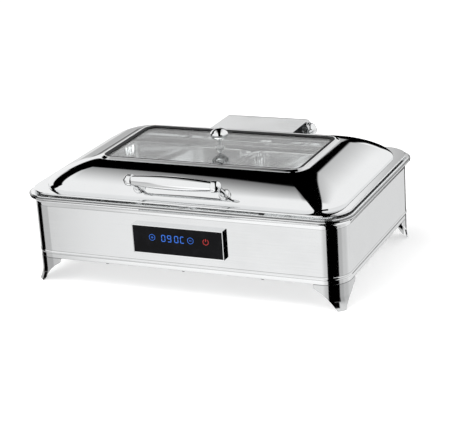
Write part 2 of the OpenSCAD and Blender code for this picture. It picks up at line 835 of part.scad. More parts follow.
module display_cable() color("gray") place() {
    cable_x = panel_w / 4;
    low = board_top + 12;
    end_y = -board_d / 2 + 8;
    wire([[cable_x, panel_y + glass_set + panel_glass_t + board_t, panel_z], [cable_x, -inner_y + 8, panel_z],
          [cable_x, -inner_y + 12, panel_z - 5], [cable_x, -inner_y + 12, low + 5],
          [cable_x + 5, -inner_y + 13, low], [board_x - 8, end_y - 30, low], [board_x, end_y - 20, low],
          [board_x, end_y - 5, low], [board_x, end_y, low - 5], [board_x, end_y, board_top]],
         [1, -1, 0.4], wire_d);
}

// Fixed half of the hinge

module ear_section() {
    difference() {
        union() {
            translate([pin_y, pin_z]) circle(ear_r);
            polygon([
                [wall_d / 2, bracket_low], [wall_d / 2, bracket_high],
                [wall_d / 2 + rim_over + 2, rim_z - lip_h - 1], [wall_d / 2 + rim_over + 2, rim_z],
                [pin_y - ear_r, pin_z], [pin_y + ear_r, pin_z],
                [pin_y + ear_r * 0.6, rim_z - lip_h], [wall_d / 2 + rim_over + 4, bracket_low]
            ]);
        }
        translate([pin_y, pin_z]) circle(d = pin_d);
    }
}

module hinge_bracket() color(steel) place() difference() {
    union() {
        for (x = [-ear_x - ear_t, ear_x]) along_x(x, ear_t) ear_section();
        translate([-ear_x, wall_d / 2, bracket_low]) cube([2 * ear_x, bracket_t, bracket_high - bracket_low]);
        translate([-ear_x, wall_d / 2, bracket_low]) cube([2 * ear_x, rim_over + 4, bracket_t]);
    }
    bores_y(bracket_spots, bolt_d + 2 * hole_gap, wall_d / 2 - 1, wall_d / 2 + bracket_t + 1);
}

module bracket_screws() color("gray") place()
    for (s = bracket_spots) {
        translate([s[0], wall_d / 2 + bracket_t, s[1]]) rotate([90, 0, 0])
            screw_up(bolt_d, bolt_head, bracket_t + sheet + 6);
        translate([s[0], inner_y, s[1]]) rotate([90, 0, 0]) hex_nut(bolt_d, bolt_head, bolt_nut_h);
    }

module hinge_pin() color("silver") place()
    translate([-ear_x - ear_t, pin_y, pin_z]) rotate([0, 90, 0]) cylinder(d = pin_d, h = 2 * (ear_x + ear_t));

module hinge_caps() color(polished) place()
    for (x = [-1, 1]) translate([x * (ear_x + ear_t), pin_y, pin_z]) rotate([0, x * 90, 0])
        rotate_extrude() intersection() {
            translate([0, cap_h - ear_r + 1]) circle(ear_r - 1);
            square([ear_r, cap_h + 1]);
        }

// Lid

module lid_skin() {
    outer = rim_w / 2 - lid_inset;
    outer_d = rim_d / 2 - lid_inset;
    outer_r = rim_r - lid_inset + 6;
    land = [frame_w / 2 - land_w, frame_d / 2 - land_w, frame_r - land_w];
    under = dome_station(0, lid_t);
    ring_loft([
        [outer, outer_d, outer_r, lid_z],
        [outer, outer_d, outer_r, flange_top],
        [outer - flange_w, outer_d - flange_w, outer_r - flange_w / 4, flange_top],
        for (k = [0 : dome_steps]) dome_station(k / dome_steps, 0),
        [land[0], land[1], land[2], top_z],
        [land[0], land[1], land[2], top_z - lid_t],
        for (k = [0 : dome_steps]) dome_station(1 - k / dome_steps, lid_t),
        [under[0], under[1], under[2], lid_z]
    ]);
}

// Puts its children on a flat of the front slope, with z along the outward normal
module on_front(k, x) {
    m = flat_mid(k);
    translate([x, -m[1], m[3]]) rotate([flat_slope(k), 0, 0]) children();
}

// The same on the back slope
module on_back(k, x) {
    m = flat_mid(k);
    translate([x, m[1], m[3]]) rotate([-flat_slope(k), 0, 0]) children();
}

arm_spots = [for (x = [-3, -1, 1, 3]) x * arm_w / 8];

module lid_shell() color(polished) place() difference() {
    lid_skin();
    for (x = [-1, 1]) on_front(handle_flat, x * handle_w / 2)
        translate([0, 0, -lid_t * 4]) cylinder(d = bolt_d + 2 * hole_gap, h = lid_t * 8);
    for (x = arm_spots) on_back(arm_flat, x)
        translate([0, 0, -lid_t * 4]) cylinder(d = bolt_d + 2 * hole_gap, h = lid_t * 8);
}

module window_frame() color(polished) place() around(frame_w, frame_d, frame_r) {
    frame_top = top_z + frame_h;
    difference() {
        union() {
            translate([-frame_band, top_z]) square([frame_band - frame_edge, frame_h]);
            translate([-frame_edge, top_z]) square([frame_edge, frame_h - frame_edge]);
            translate([-frame_edge, frame_top - frame_edge]) circle(frame_edge);
        }
        translate([-frame_band - 1, top_z - 1]) square([frame_band - frame_lip + 1, gasket_top - top_z + 1]);
    }
}

module window_gasket() color(black) place() around(frame_w, frame_d, frame_r) difference() {
    translate([-gasket_in, gasket_z]) square([gasket_in - frame_lip, gasket_top - gasket_z]);
    translate([-land_w - seal_gap, top_z - lid_t]) square([land_w + seal_gap, lid_t]);
    translate([-gasket_in - 1, glass_z]) square([gasket_in + 1 + seal_gap - glass_edge, glass_t]);
}

module window_glass() color("#9fb3bd", 0.4) place() difference() {
    translate([0, 0, glass_z]) linear_extrude(glass_t)
        round_rect(frame_w - 2 * glass_edge, frame_d - 2 * glass_edge, frame_r - glass_edge);
    translate([0, 0, glass_z - 1]) cylinder(d = stem_d + 2 * hole_gap, h = glass_t + 2);
}

// Vent knob

glass_top = glass_z + glass_t;
washer_t = 1.5;
washer_w = 5;
stem_collar = 2.5;
stem_collar_h = 2;
vent_nut_h = 5;
vent_nut_w = 7;
stem_under = 8;
cap_z = glass_top + knob_up;
knob_side_r = 7;
knob_flat = 0.6;

module vent_washer() color("gainsboro") place() translate([0, 0, glass_top]) difference() {
    cylinder(d = stem_d + 2 * washer_w, h = washer_t);
    translate([0, 0, -1]) cylinder(d = stem_d + 2 * run_gap, h = washer_t + 2);
}

module vent_stem() color("silver") place() {
    stem_low = glass_z - stem_under;
    translate([0, 0, stem_low]) cylinder(d = stem_d, h = cap_z - stem_low);
    translate([0, 0, glass_top + washer_t]) cylinder(d = stem_d + 2 * stem_collar, h = stem_collar_h);
}

// Flattened ball with a small flat under it, where the stem ends
module vent_cap() color(polished) place() translate([0, 0, cap_z]) rotate_extrude() intersection() {
    half = (knob_h + knob_flat) / 2;
    reach = knob_d / 2 - knob_side_r;
    crown_r = (half * half + reach * reach - knob_side_r * knob_side_r) / (2 * (half - knob_side_r));
    crown_w = crown_r * reach / (crown_r - knob_side_r);
    square([knob_d / 2, knob_h]);
    translate([0, half - knob_flat]) union() {
        translate([reach, 0]) circle(knob_side_r);
        intersection() {
            translate([0, half - crown_r]) circle(crown_r);
            translate([0, crown_r - half]) circle(crown_r);
            translate([0, -half]) square([crown_w, 2 * half]);
        }
    }
}

module vent_nut() color("silver") place() translate([0, 0, glass_z - vent_nut_h])
    hex_nut(stem_d, stem_d + vent_nut_w, vent_nut_h);

// Handle

spigot_d = 8;
spigot_l = 10;
drum_l = 6;
bolt_in = 6;

// A knuckle with its dome down, its drum up and the pin that goes into the grip
module knuckle() {
    rotate_extrude() {
        square([knuckle_d / 2, drum_l]);
        intersection() {
            circle(d = knuckle_d);
            translate([0, -knuckle_d / 2]) square(knuckle_d / 2);
        }
    }
    cylinder(d = spigot_d, h = knuckle_d / 2 + spigot_l);
}

module handle_grip() color(polished) place() translate([0, grip_y, grip_z]) rotate([0, 90, 0]) difference() {
    belly = (grip_d - grip_end_d) / 2;
    arc_r = (grip_l * grip_l / 4 + belly * belly) / (2 * belly);
    rotate_extrude() intersection() {
        translate([grip_d / 2 - arc_r, 0]) circle(arc_r, $fn = 512);
        translate([0, -grip_l / 2]) square([grip_d, grip_l]);
    }
    for (z = [-1, 1]) translate([0, 0, z * handle_w / 2]) rotate([90 + 90 * z, 0, 0]) knuckle();
}

// A post of the right side: a foot on the lid's slope, a slanted stem, a knuckle and a pin in the grip
module right_post() {
    on_front(handle_flat, handle_w / 2) difference() {
        cylinder(d = base_d, h = base_h);
        translate([0, 0, -1]) cylinder(d = bolt_d, h = base_h + 2);
    }
    translate([handle_w / 2, grip_y, grip_z]) {
        rotate([0, -90, 0]) knuckle();
        rotate([180 - post_tilt, 0, 0]) difference() {
            translate([0, -post_l - base_h / 2, 0]) rotate([-90, 0, 0])
                cylinder(d = post_d, h = post_l + base_h / 2);
            translate([0, -post_l, 0]) rotate([post_tilt - 180, 0, 0]) rotate([handle_slope, 0, 0])
                translate([0, 0, -base_h - 1]) cylinder(d = bolt_d, h = base_h + 1 + bolt_in);
        }
    }
}

module handle_post_left() color(polished) place() mirror([1, 0, 0]) right_post();
module handle_post_right() color(polished) place() right_post();

module handle_screws() color("gray") place()
    for (x = [-1, 1]) on_front(handle_flat, x * handle_w / 2)
        translate([0, 0, -flat_depth(handle_flat)])
            screw_up(bolt_d, bolt_head, flat_depth(handle_flat) + base_h + bolt_in);

// Moving half of the hinge

tongue_l = 12;
join = 0.5;

// Section of the arm: a top plate, a roll round the pin and a tongue along the lid's back slope
module arm_section() {
    m = flat_mid(arm_flat);
    slope = flat_slope(arm_flat);
    tip_y = m[1] - (arm_top - m[3]) / tan(slope);
    difference() {
        union() {
            translate([tip_y, arm_top - arm_t]) square([pin_y - tip_y, arm_t]);
            translate([m[1], m[3]]) rotate(-slope) translate([-tongue_l, 0]) square([2 * tongue_l, arm_t]);
        }
        translate([m[1], m[3]]) rotate(-slope) translate([-4 * roll_r, -8 * roll_r]) square(8 * roll_r);
        translate([tip_y - roll_r, arm_top]) square(4 * roll_r);
    }
    intersection() {
        translate([pin_y, pin_z]) difference() {
            circle(roll_r);
            circle(roll_r - arm_t);
        }
        translate([pin_y - join, pin_z - roll_r / 3]) square(2 * roll_r);
    }
}

module lid_arm() color(steel) place() difference() {
    union() {
        along_x(-arm_w / 2, arm_w) arm_section();
        for (x = [-arm_w / 2, arm_w / 2 - cheek_t])
            along_x(x, cheek_t) translate([pin_y, pin_z]) circle(roll_r - arm_t);
    }
    for (x = [-arm_w / 2, arm_w / 2 - cheek_t])
        along_x(x - 1, cheek_t + 2) translate([pin_y, pin_z]) circle(d = pin_d + 2 * (run_gap + bush_wall));
    for (x = arm_spots) on_back(arm_flat, x) translate([0, 0, -1]) cylinder(d = bolt_d, h = arm_t);
}

module arm_screws() color("gray") place()
    for (x = arm_spots) on_back(arm_flat, x)
        translate([0, 0, -flat_depth(arm_flat)])
            screw_up(bolt_d, bolt_head, flat_depth(arm_flat) + arm_t - 1);

module pin_ring(x, w, outer) {
    along_x(x, w) translate([pin_y, pin_z]) difference() {
        circle(d = outer);
        circle(d = pin_d + 2 * run_gap);
    }
}

module hinge_bushes() color("goldenrod") place()
    for (x = [-arm_w / 2, arm_w / 2 - cheek_t]) pin_ring(x, cheek_t, pin_d + 2 * (run_gap + bush_wall));

module hinge_damper() color("#33373c") place()
    pin_ring(-arm_w / 2 + cheek_t, arm_w - 2 * cheek_t, 2 * (roll_r - arm_t) - 2);

// Pads under the flange that the lid rests on
bumper_d = 8;
bumper_gap = 0.3;
bumper_h = lid_gap - bumper_gap;
bumper_in = lid_inset + flange_w / 2 + 2;
bumper_spots = [
    for (x = [-1, 1], y = [-1, 1]) [x * rim_w / 4, y * (rim_d / 2 - bumper_in)],
    for (x = [-1, 1]) [x * (rim_w / 2 - bumper_in), 0]
];

module lid_bumpers() color(black) place() bores_z(bumper_spots, bumper_d, lid_z - bumper_h, lid_z);

body_shell();
bottom_cover();
cover_screws();
foot_front_left();
foot_front_right();
foot_back_left();
foot_back_right();
foot_screws();
water_pan();
divider_bar();
food_pan_left();
food_pan_right();
heater_plate();
heating_element();
heater_clamps();
clamp_screws();
probe_block();
temperature_probe();
thermal_cutout();
control_bezel();
control_glass();
display_board();
bezel_nuts();
power_board();
board_standoffs();
relay();
transformer();
terminal_block();
power_inlet();
inlet_pins();
inlet_screws();
mains_wires();
heater_wires();
probe_wire();
display_cable();
hinge_bracket();
bracket_screws();
hinge_pin();
hinge_caps();
lid_shell();
window_frame();
window_gasket();
window_glass();
vent_cap();
vent_stem();
vent_washer();
vent_nut();
handle_grip();
handle_post_left();
handle_post_right();
handle_screws();
lid_arm();
arm_screws();
hinge_bushes();
hinge_damper();
lid_bumpers();
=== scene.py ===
"""Electric chafing dish: a polished steel food warmer with a hinged lid, a window and a touch panel.

Pieces are drawn in millimetres from a point on the table under the middle of the body, with X to the
right, Y to the back and Z up, and are set into the frame in metres when they are finished.
"""
import json
import math

import bmesh
import bpy
from mathutils import Matrix, Vector


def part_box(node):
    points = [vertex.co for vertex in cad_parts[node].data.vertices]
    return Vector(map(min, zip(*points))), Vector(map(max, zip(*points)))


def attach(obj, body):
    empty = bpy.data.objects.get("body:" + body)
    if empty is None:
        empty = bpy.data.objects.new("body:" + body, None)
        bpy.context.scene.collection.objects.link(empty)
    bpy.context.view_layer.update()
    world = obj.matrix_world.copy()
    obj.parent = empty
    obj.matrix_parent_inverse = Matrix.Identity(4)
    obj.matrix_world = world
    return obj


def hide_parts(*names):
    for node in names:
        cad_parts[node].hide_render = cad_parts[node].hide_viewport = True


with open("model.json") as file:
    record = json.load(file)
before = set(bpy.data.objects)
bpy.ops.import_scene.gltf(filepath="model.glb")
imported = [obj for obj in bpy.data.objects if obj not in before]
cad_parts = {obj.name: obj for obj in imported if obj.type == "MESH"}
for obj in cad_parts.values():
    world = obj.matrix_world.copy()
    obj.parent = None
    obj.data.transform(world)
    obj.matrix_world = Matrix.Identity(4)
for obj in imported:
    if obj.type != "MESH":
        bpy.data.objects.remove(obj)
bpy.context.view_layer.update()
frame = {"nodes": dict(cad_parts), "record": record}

MM = 0.001
RIM_LOW, RIM_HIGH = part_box("body_shell")
MIDDLE = Vector((0, (RIM_LOW.y + RIM_HIGH.y) / 2, 0))


def corners(node):
    """Lowest and highest corner of a part, in millimetres from under the middle of the body."""
    low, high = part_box(node)
    return (low - MIDDLE) / MM, (high - MIDDLE) / MM


def middle_of(node):
    low, high = corners(node)
    return (low + high) / 2


# Sizes of the body, in millimetres
RIM = corners("body_shell")[1]
BODY_LOW = corners("body_shell")[0].z
RIM_OVER = 10
RIM_R = 50
LIP_H = 4
WALL_W = RIM.x - RIM_OVER
WALL_D = RIM.y - RIM_OVER
WALL_R = RIM_R - RIM_OVER
SHEET = 1.2
SEAT_W = 8
TURN_IN = 12
BEAD_UP = 11
BEAD_R = 5.2
BEAD_OUT = 0.9
COLLAR_DROP = 3.5
COLLAR_OUT = 0.6

# Sizes of the feet
FOOT_RUN = 14
FOOT_T = 2.5
FLARE_OUT = 6
FLARE_Z = 22
NOSE_Z = 37
NOSE_R = 4
ARCH_R = 71
TOE_W = 17
FOOT_PLAY = 0.1
FOOT_COLUMNS = 120
FOOT_ROWS = 18

# Sizes of the lid
LID_LOW, LID_HIGH = corners("lid_shell")
FLANGE_T = 3
FLANGE_W = 10
FLANGE_R = 49
STEP_W = 6
STEP_H = 2
DOME_P = 1.45
DOME_R = 56
LID_T = 1.4
FRAME_LOW, FRAME_HIGH = corners("window_frame")
FRAME_R = 30
TOP_Z = FRAME_LOW.z
LAND_W = 8
STEM_R = 3
CORNER_STEPS = 20

# Where the photograph was taken from: degrees and millimetres, but the reach in metres
CAMERA_TURN = 24.58
CAMERA_RISE = 19.38
CAMERA_ROLL = -3.79
CAMERA_DISTANCE = 2752.27
CAMERA_TARGET = Vector((1.48, 0, 86.22))
CAMERA_LENS = 123.25
CAMERA_SENSOR = 36
CAMERA_REACH = 100


def set_camera():
    turn, rise, roll = (math.radians(a) for a in (CAMERA_TURN, CAMERA_RISE, CAMERA_ROLL))
    back = Vector((math.sin(turn) * math.cos(rise), -math.cos(turn) * math.cos(rise), math.sin(rise)))
    right = Vector((math.cos(turn), math.sin(turn), 0))
    up = back.cross(right)
    across = right * math.cos(roll) + up * math.sin(roll)
    over = up * math.cos(roll) - right * math.sin(roll)
    data = bpy.data.cameras.new("photo_camera")
    data.lens = CAMERA_LENS
    data.sensor_width = CAMERA_SENSOR
    data.clip_end = CAMERA_REACH
    camera = bpy.data.objects.new("photo_camera", data)
    place = (CAMERA_TARGET + back * CAMERA_DISTANCE) * MM + MIDDLE
    camera.matrix_world = Matrix.Translation(place) @ Matrix((across, over, back)).transposed().to_4x4()
    bpy.context.scene.collection.objects.link(camera)
    bpy.context.scene.camera = camera


set_camera()
bpy.context.scene.view_settings.view_transform = "Standard"


# Shader expressions

class Value:
    """One output of a shader node. Arithmetic on it adds Math nodes to its tree."""

    def __init__(self, tree, socket):
        self.tree = tree
        self.socket = socket

    def math(self, operation, *terms):
        return self.tree.add("ShaderNodeMath", {"operation": operation}, dict(enumerate(terms)))

    def __add__(self, other):
        return self.math("ADD", self, other)

    def __sub__(self, other):
        return self.math("SUBTRACT", self, other)

    def __rsub__(self, other):
        return self.math("SUBTRACT", other, self)

    def __mul__(self, other):
        return self.math("MULTIPLY", self, other)

    def __truediv__(self, other):
        return self.math("DIVIDE", self, other)

    def __abs__(self):
        return self.math("ABSOLUTE", self)

    __radd__ = __add__
    __rmul__ = __mul__

    def ramp(self, low, high, start=0.0, end=1.0):
        """A smooth change from start to end while this value goes from low to high."""
        sockets = {"Value": self, "From Min": low, "From Max": high, "To Min": start, "To Max": end}
        return self.tree.add("ShaderNodeMapRange", {"interpolation_type": "SMOOTHSTEP"}, sockets)


class Tree:
    """A node tree under construction."""

    def __init__(self, owner):
        owner.use_nodes = True
        self.nodes = owner.node_tree.nodes
        self.links = owner.node_tree.links
        self.nodes.clear()

    def add(self, kind, settings=None, sockets=None, output=0):
        """Adds a node: its settings first, then the values or links of its sockets."""
        made = self.nodes.new(kind)
        for name, value in (settings or {}).items():
            setattr(made, name, value)
        for name, value in (sockets or {}).items():
            if isinstance(value, Value):
                self.links.new(value.socket, made.inputs[name])
            else:
                made.inputs[name].default_value = value
        return Value(self, made.outputs[output]) if made.outputs else made

    def place(self, scale=(1, 1, 1)):
        """The point on the piece in metres, stretched along the axes."""
        where = self.add("ShaderNodeTexCoord", output="Object")
        return self.add("ShaderNodeMapping", {}, {"Vector": where, "Scale": scale})

    def noise(self, scale, detail=3, stretch=(1, 1, 1)):
        sockets = {"Vector": self.place(stretch), "Scale": scale, "Detail": detail, "Roughness": 0.6}
        return self.add("ShaderNodeTexNoise", {}, sockets, "Fac")

    def bump(self, height, strength, distance):
        sockets = {"Height": height, "Strength": strength, "Distance": distance}
        return self.add("ShaderNodeBump", {}, sockets)

    def mix(self, share, first, second):
        """A colour between two colours."""
        sockets = {"Factor": share, 6: first, 7: second}
        return self.add("ShaderNodeMix", {"data_type": "RGBA"}, sockets, 2)

    def surface(self, **sockets):
        """The Principled shader of a material, with socket names given in small letters."""
        named = {}
        for name, value in sockets.items():
            words = name.replace("_", " ").title()
            named[words.replace("Ior", "IOR")] = value
        shader = self.add("ShaderNodeBsdfPrincipled", {}, named)
        self.add("ShaderNodeOutputMaterial", {}, {"Surface": shader})


def grey(level, tint=(1, 1, 1)):
    return tuple(level * t for t in tint) + (1,)


# Patterns of the finishes: scales per metre, and heights in metres
SMUDGES = 14
GRAIN_LINES = 900
GRAIN_HEIGHT = 0.0002
CLOUDS = 20
PORES = 1800
PORE_HEIGHT = 0.0004
PORE_STRENGTH = 0.15

# Tint of all steel, and the blur in millimetres and the tone of the painted shade lines on it
STEEL_TINT = (0.985, 0.995, 1.0)
SHADE_LINE_BLUR = 0.15
SHADE_LINE_GREY = 0.02


def steel(name, dark, light, smooth, rough, grain=(1, 1, 1), depth=0.0, shade_lines=(), metal=1.0):
    """Steel whose sheen wanders between two roughnesses, with fine lines along the grain.

    Painted shade lines are dark lines at given heights that stand for the shade and dark reflections in
    folds and gaps: height, half width in millimetres and strength.
    A metal share below 1 stands for the haze of a drawn sheet.
    """
    material = bpy.data.materials.new(name)
    tree = Tree(material)
    smudge = tree.noise(SMUDGES, 4)
    lines = tree.noise(GRAIN_LINES, 2, grain)
    wear = smudge * 0.6 + lines * 0.4
    colour = tree.mix(wear.ramp(0.3, 0.7), grey(dark, STEEL_TINT), grey(light, STEEL_TINT))
    # Painted shade: dark lines at given heights stand for the shade and dark reflections in folds and
    # gaps
    if shade_lines:
        height = tree.add("ShaderNodeSeparateXYZ", {}, {0: tree.place()}, "Z") / MM
        for z, half, strength in shade_lines:
            line = abs(height - z).ramp(half + SHADE_LINE_BLUR, half - SHADE_LINE_BLUR) * strength
            colour = tree.mix(line, colour, grey(SHADE_LINE_GREY))
    tree.surface(
        base_color=colour,
        metallic=metal,
        roughness=wear.ramp(0.25, 0.75, smooth, rough),
        normal=tree.bump(lines, depth, GRAIN_HEIGHT),
    )
    return material


def moulded(name, dark, light, smooth, rough, grain=PORES):
    """Plastic, rubber or paint with a fine moulded grain."""
    material = bpy.data.materials.new(name)
    tree = Tree(material)
    cloud = tree.noise(CLOUDS, 4)
    pores = tree.noise(grain, 2)
    tree.surface(
        base_color=tree.mix(cloud.ramp(0.3, 0.7), dark, light),
        roughness=(cloud * 0.5 + pores * 0.5).ramp(0.3, 0.7, smooth, rough),
        normal=tree.bump(pores, PORE_STRENGTH, PORE_HEIGHT),
    )
    return material


def clear_glass():
    """Window glass with a trace of wiping marks, and a low index so that the pans show through."""
    material = bpy.data.materials.new("clear_glass")
    tree = Tree(material)
    wiped = tree.noise(22, 5, (1, 3, 1))
    tree.surface(
        base_color=(0.985, 0.995, 0.99, 1),
        roughness=wiped.ramp(0.55, 0.8, 0.0, 0.02),
        transmission_weight=1.0,
        ior=1.28,
    )
    return material


def panel_glass():
    """Black-backed touch glass with a faint bloom of fingerprints."""
    material = bpy.data.materials.new("panel_black")
    tree = Tree(material)
    prints = tree.noise(60, 5)
    tree.surface(
        base_color=tree.mix(prints.ramp(0.4, 0.75), (0.005, 0.005, 0.006, 1), (0.009, 0.009, 0.011, 1)),
        roughness=prints.ramp(0.45, 0.75, 0.04, 0.14),
        specular_ior_level=0.08,
    )
    return material


def circuit_board():
    """Green solder mask with lighter copper tracks under it."""
    material = bpy.data.materials.new("board_green")
    tree = Tree(material)
    cells = tree.add("ShaderNodeTexBrick", {"offset": 0.35}, {
        "Vector": tree.place(), "Scale": 90, "Mortar Size": 0.035, "Brick Width": 0.8, "Row Height": 0.3,
    }, "Fac")
    tree.surface(
        base_color=tree.mix(cells, (0.012, 0.10, 0.035, 1), (0.05, 0.24, 0.08, 1)),
        roughness=tree.noise(400).ramp(0.3, 0.7, 0.28, 0.42),
        normal=tree.bump(cells, 0.3, 0.0001),
    )
    return material


def lit_mark(name, colour):
    """A lit sign behind the touch glass, a little uneven like a real lamp film."""
    material = bpy.data.materials.new(name)
    tree = Tree(material)
    uneven = tree.noise(GRAIN_LINES, 2)
    dim = tuple(0.75 * c for c in colour[:3]) + (1,)
    tree.surface(
        base_color=(0.01, 0.01, 0.01, 1),
        roughness=0.3,
        emission_color=tree.mix(uneven.ramp(0.3, 0.7), dim, colour),
        emission_strength=1.0,
    )
    return material


def bush_brass():
    """Turned brass with lines round the axis of the hinge."""
    material = bpy.data.materials.new("bush_brass")
    tree = Tree(material)
    turned_lines = tree.noise(700, 2, (1, 0.05, 0.05))
    tree.surface(
        base_color=tree.mix(turned_lines, (0.62, 0.43, 0.16, 1), (0.78, 0.58, 0.26, 1)),
        metallic=1.0,
        roughness=turned_lines.ramp(0.3, 0.7, 0.22, 0.36),
    )
    return material


SATIN_X = (0.02, 1, 1)

# Dark and light tone, least and greatest roughness, then grain, its depth, painted shade lines and share
# of metal
STEELS = {
    "wall_steel": (0.80, 0.85, 0.05, 0.13, SATIN_X, 0.02),
    "lid_steel": (0.86, 0.89, 0.02, 0.06),
    "pan_steel": (0.92, 0.95, 0.05, 0.11, SATIN_X, 0.004, (), 0.9),
    "trim_steel": (0.86, 0.90, 0.025, 0.07),
    "screw_steel": (0.42, 0.52, 0.22, 0.38),
    "heater_metal": (0.45, 0.58, 0.34, 0.52),
}

# Dark and light colour, least and greatest roughness, then the scale of a coarser grain
MOULDINGS = {
    "seal_rubber": ((0.016, 0.016, 0.017, 1), (0.026, 0.026, 0.027, 1), 0.5, 0.7),
    "clear_silicone": ((0.74, 0.75, 0.75, 1), (0.82, 0.83, 0.83, 1), 0.4, 0.55),
    "damper_paint": ((0.03, 0.032, 0.035, 1), (0.045, 0.047, 0.05, 1), 0.35, 0.5, 700),
    "relay_blue": ((0.02, 0.10, 0.42, 1), (0.03, 0.14, 0.50, 1), 0.3, 0.45),
    "inlet_black": ((0.014, 0.014, 0.015, 1), (0.024, 0.024, 0.025, 1), 0.42, 0.6),
    "wire_jacket": ((0.42, 0.40, 0.36, 1), (0.55, 0.52, 0.47, 1), 0.35, 0.5),
}

FINISHES = {name: steel(name, *values) for name, values in STEELS.items()}
FINISHES.update({name: moulded(name, *values) for name, values in MOULDINGS.items()})
FINISHES.update(
    clear_glass=clear_glass(),
    panel_black=panel_glass(),
    board_green=circuit_board(),
    bush_brass=bush_brass(),
)
SATIN_STEM = steel("satin_stem", 0.86, 0.90, 0.45, 0.55)
SATIN_ARM = steel("satin_arm", 0.75, 0.81, 0.10, 0.18, SATIN_X, 0.05)
# Feet: the same steel in a darker tone, as painted shade on the feet
SHADED_FOOT_STEEL = steel("foot_steel_painted_shade", 0.66, 0.72, 0.05, 0.12)
LAMP_BLUE = lit_mark("lamp_blue", (0.03, 0.22, 1.0, 1))
LAMP_RED = lit_mark("lamp_red", (0.6, 0.02, 0.018, 1))
SLOTS = {part["node"]: part["material_slot"] for part in frame["record"]["subparts"]}
BODIES = {node: body for body, nodes in frame["record"]["behaviour"]["bodies"].items() for node in nodes}

for node_name, node_object in frame["nodes"].items():
    node_object.data.materials.clear()
    node_object.data.materials.append(FINISHES[SLOTS[node_name]])


# Modelling helpers

# Lengths in millimetres, and angles in degrees
FAR_APART = 500
WELD = 0.0005
CREASE = 32
SHARP_EDGE = 40


def each_once(items):
    """The items without repeats, in their order."""
    return list(dict.fromkeys(items))


def new_points(made):
    """The vertices among what an extrusion made."""
    return [item for item in made["geom"] if isinstance(item, bmesh.types.BMVert)]


def arc(x, z, radius, start, end, steps):
    """Points of an arc in a section, with angles in degrees from the outward direction."""
    turns = (math.radians(start + (end - start) * k / steps) for k in range(steps + 1))
    return [(x + radius * math.cos(t), z + radius * math.sin(t)) for t in turns]


def rounded_ring(bm, half_w, half_d, radius, z, steps=CORNER_STEPS):
    """Adds the outline of a rounded rectangle at a height and returns its edges."""
    known = set(bm.edges)
    made = bmesh.ops.create_grid(bm, x_segments=1, y_segments=1, size=1)["verts"]
    bmesh.ops.scale(bm, vec=(half_w, half_d, 1), verts=made)
    bmesh.ops.translate(bm, vec=(0, 0, z), verts=made)
    bmesh.ops.bevel(bm, geom=made, offset=radius, offset_type="OFFSET", segments=steps, profile=0.5,
                    affect="VERTICES", material=-1)
    edges = [edge for edge in bm.edges if edge not in known]
    faces = each_once(face for edge in edges for face in edge.link_faces)
    bmesh.ops.delete(bm, geom=faces, context="FACES_ONLY")
    return edges


def loft(bm, rings, closed=False, steps=CORNER_STEPS):
    """A skin through rounded rectangles, joined to a loop or with a face on both ends.

    The rings are joined while they lie far apart and then brought to their heights, because two rings in
    one plane could be joined with a twist.
    """
    loops = [rounded_ring(bm, *ring[:3], FAR_APART * k, steps) for k, ring in enumerate(rings)]
    pairs = list(zip(loops, loops[1:]))
    if closed:
        pairs.append((loops[-1], loops[0]))
    for first, second in pairs:
        bmesh.ops.bridge_loops(bm, edges=first + second)
    if not closed:
        bmesh.ops.edgeloop_fill(bm, edges=loops[0])
        bmesh.ops.edgeloop_fill(bm, edges=loops[-1])
    for loop, ring in zip(loops, rings):
        for vert in each_once(vert for edge in loop for vert in edge.verts):
            vert.co.z = ring[3]


def hoop(section, half_w, half_d, radius, steps=CORNER_STEPS):
    """A section carried round a rounded rectangle; its first number is the distance out."""
    bm = bmesh.new()
    loft(bm, [(half_w + out, half_d + out, radius + out, z) for out, z in section], True, steps)
    return bm


def chain(bm, points):
    """A row of edges through points."""
    verts = [bm.verts.new(point) for point in points]
    return verts + [bm.edges.new(pair) for pair in zip(verts, verts[1:])]


def turned(bm, section, steps):
    """A section of radius and height turned about Z; returns its vertices."""
    known = set(bm.verts)
    geom = chain(bm, [(radius, 0, z) for radius, z in section])
    bmesh.ops.spin(bm, geom=geom, cent=(0, 0, 0), axis=(0, 0, 1), angle=math.tau, steps=steps,
                   use_merge=True)
    made = [vert for vert in bm.verts if vert not in known]
    bmesh.ops.remove_doubles(bm, verts=made, dist=0.001)
    return [vert for vert in bm.verts if vert not in known]


def point_along(bm, verts, direction, place):
    """Turns what was made along Z to a direction and moves it to its place."""
    turn = Vector((0, 0, 1)).rotation_difference(direction).to_matrix()
    bmesh.ops.rotate(bm, cent=(0, 0, 0), matrix=turn, verts=verts)
    bmesh.ops.translate(bm, vec=place, verts=verts)


def set_in_frame(bm):
    """Turns the faces outwards and brings a mesh from millimetres to its place in the frame."""
    bmesh.ops.recalc_face_normals(bm, faces=bm.faces)
    bmesh.ops.scale(bm, vec=(MM, MM, MM), verts=bm.verts)
    bmesh.ops.translate(bm, vec=MIDDLE, verts=bm.verts)


def piece(name, bm, nodes, finish=None, crease=CREASE):
    """Finishes a mesh as an object that rides with the body of the parts that it stands for."""
    bmesh.ops.remove_doubles(bm, verts=bm.verts, dist=WELD)
    set_in_frame(bm)
    return finish_piece(name, bm, nodes, finish, crease)


def finish_piece(name, bm, nodes, finish=None, crease=CREASE, carried_by=None):
    """Makes the object, with its finish (that of its lead part's slot unless one is given) and its body,
    and hides the parts that it stands for.
    """
    for face in bm.faces:
        face.smooth = True
        face.material_index = 0
    mesh = bpy.data.meshes.new(name)
    bm.to_mesh(mesh)
    bm.free()
    mesh.set_sharp_from_angle(angle=math.radians(crease))
    lead = carried_by or nodes[0]
    mesh.materials.append(finish or FINISHES[SLOTS[lead]])
    made = bpy.data.objects.new(name, mesh)
    bpy.context.scene.collection.objects.link(made)
    weights = made.modifiers.new("flat_faces_lead", "WEIGHTED_NORMAL")
    weights.keep_sharp = True
    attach(made, BODIES[lead])
    if nodes:
        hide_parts(*nodes)
    return made


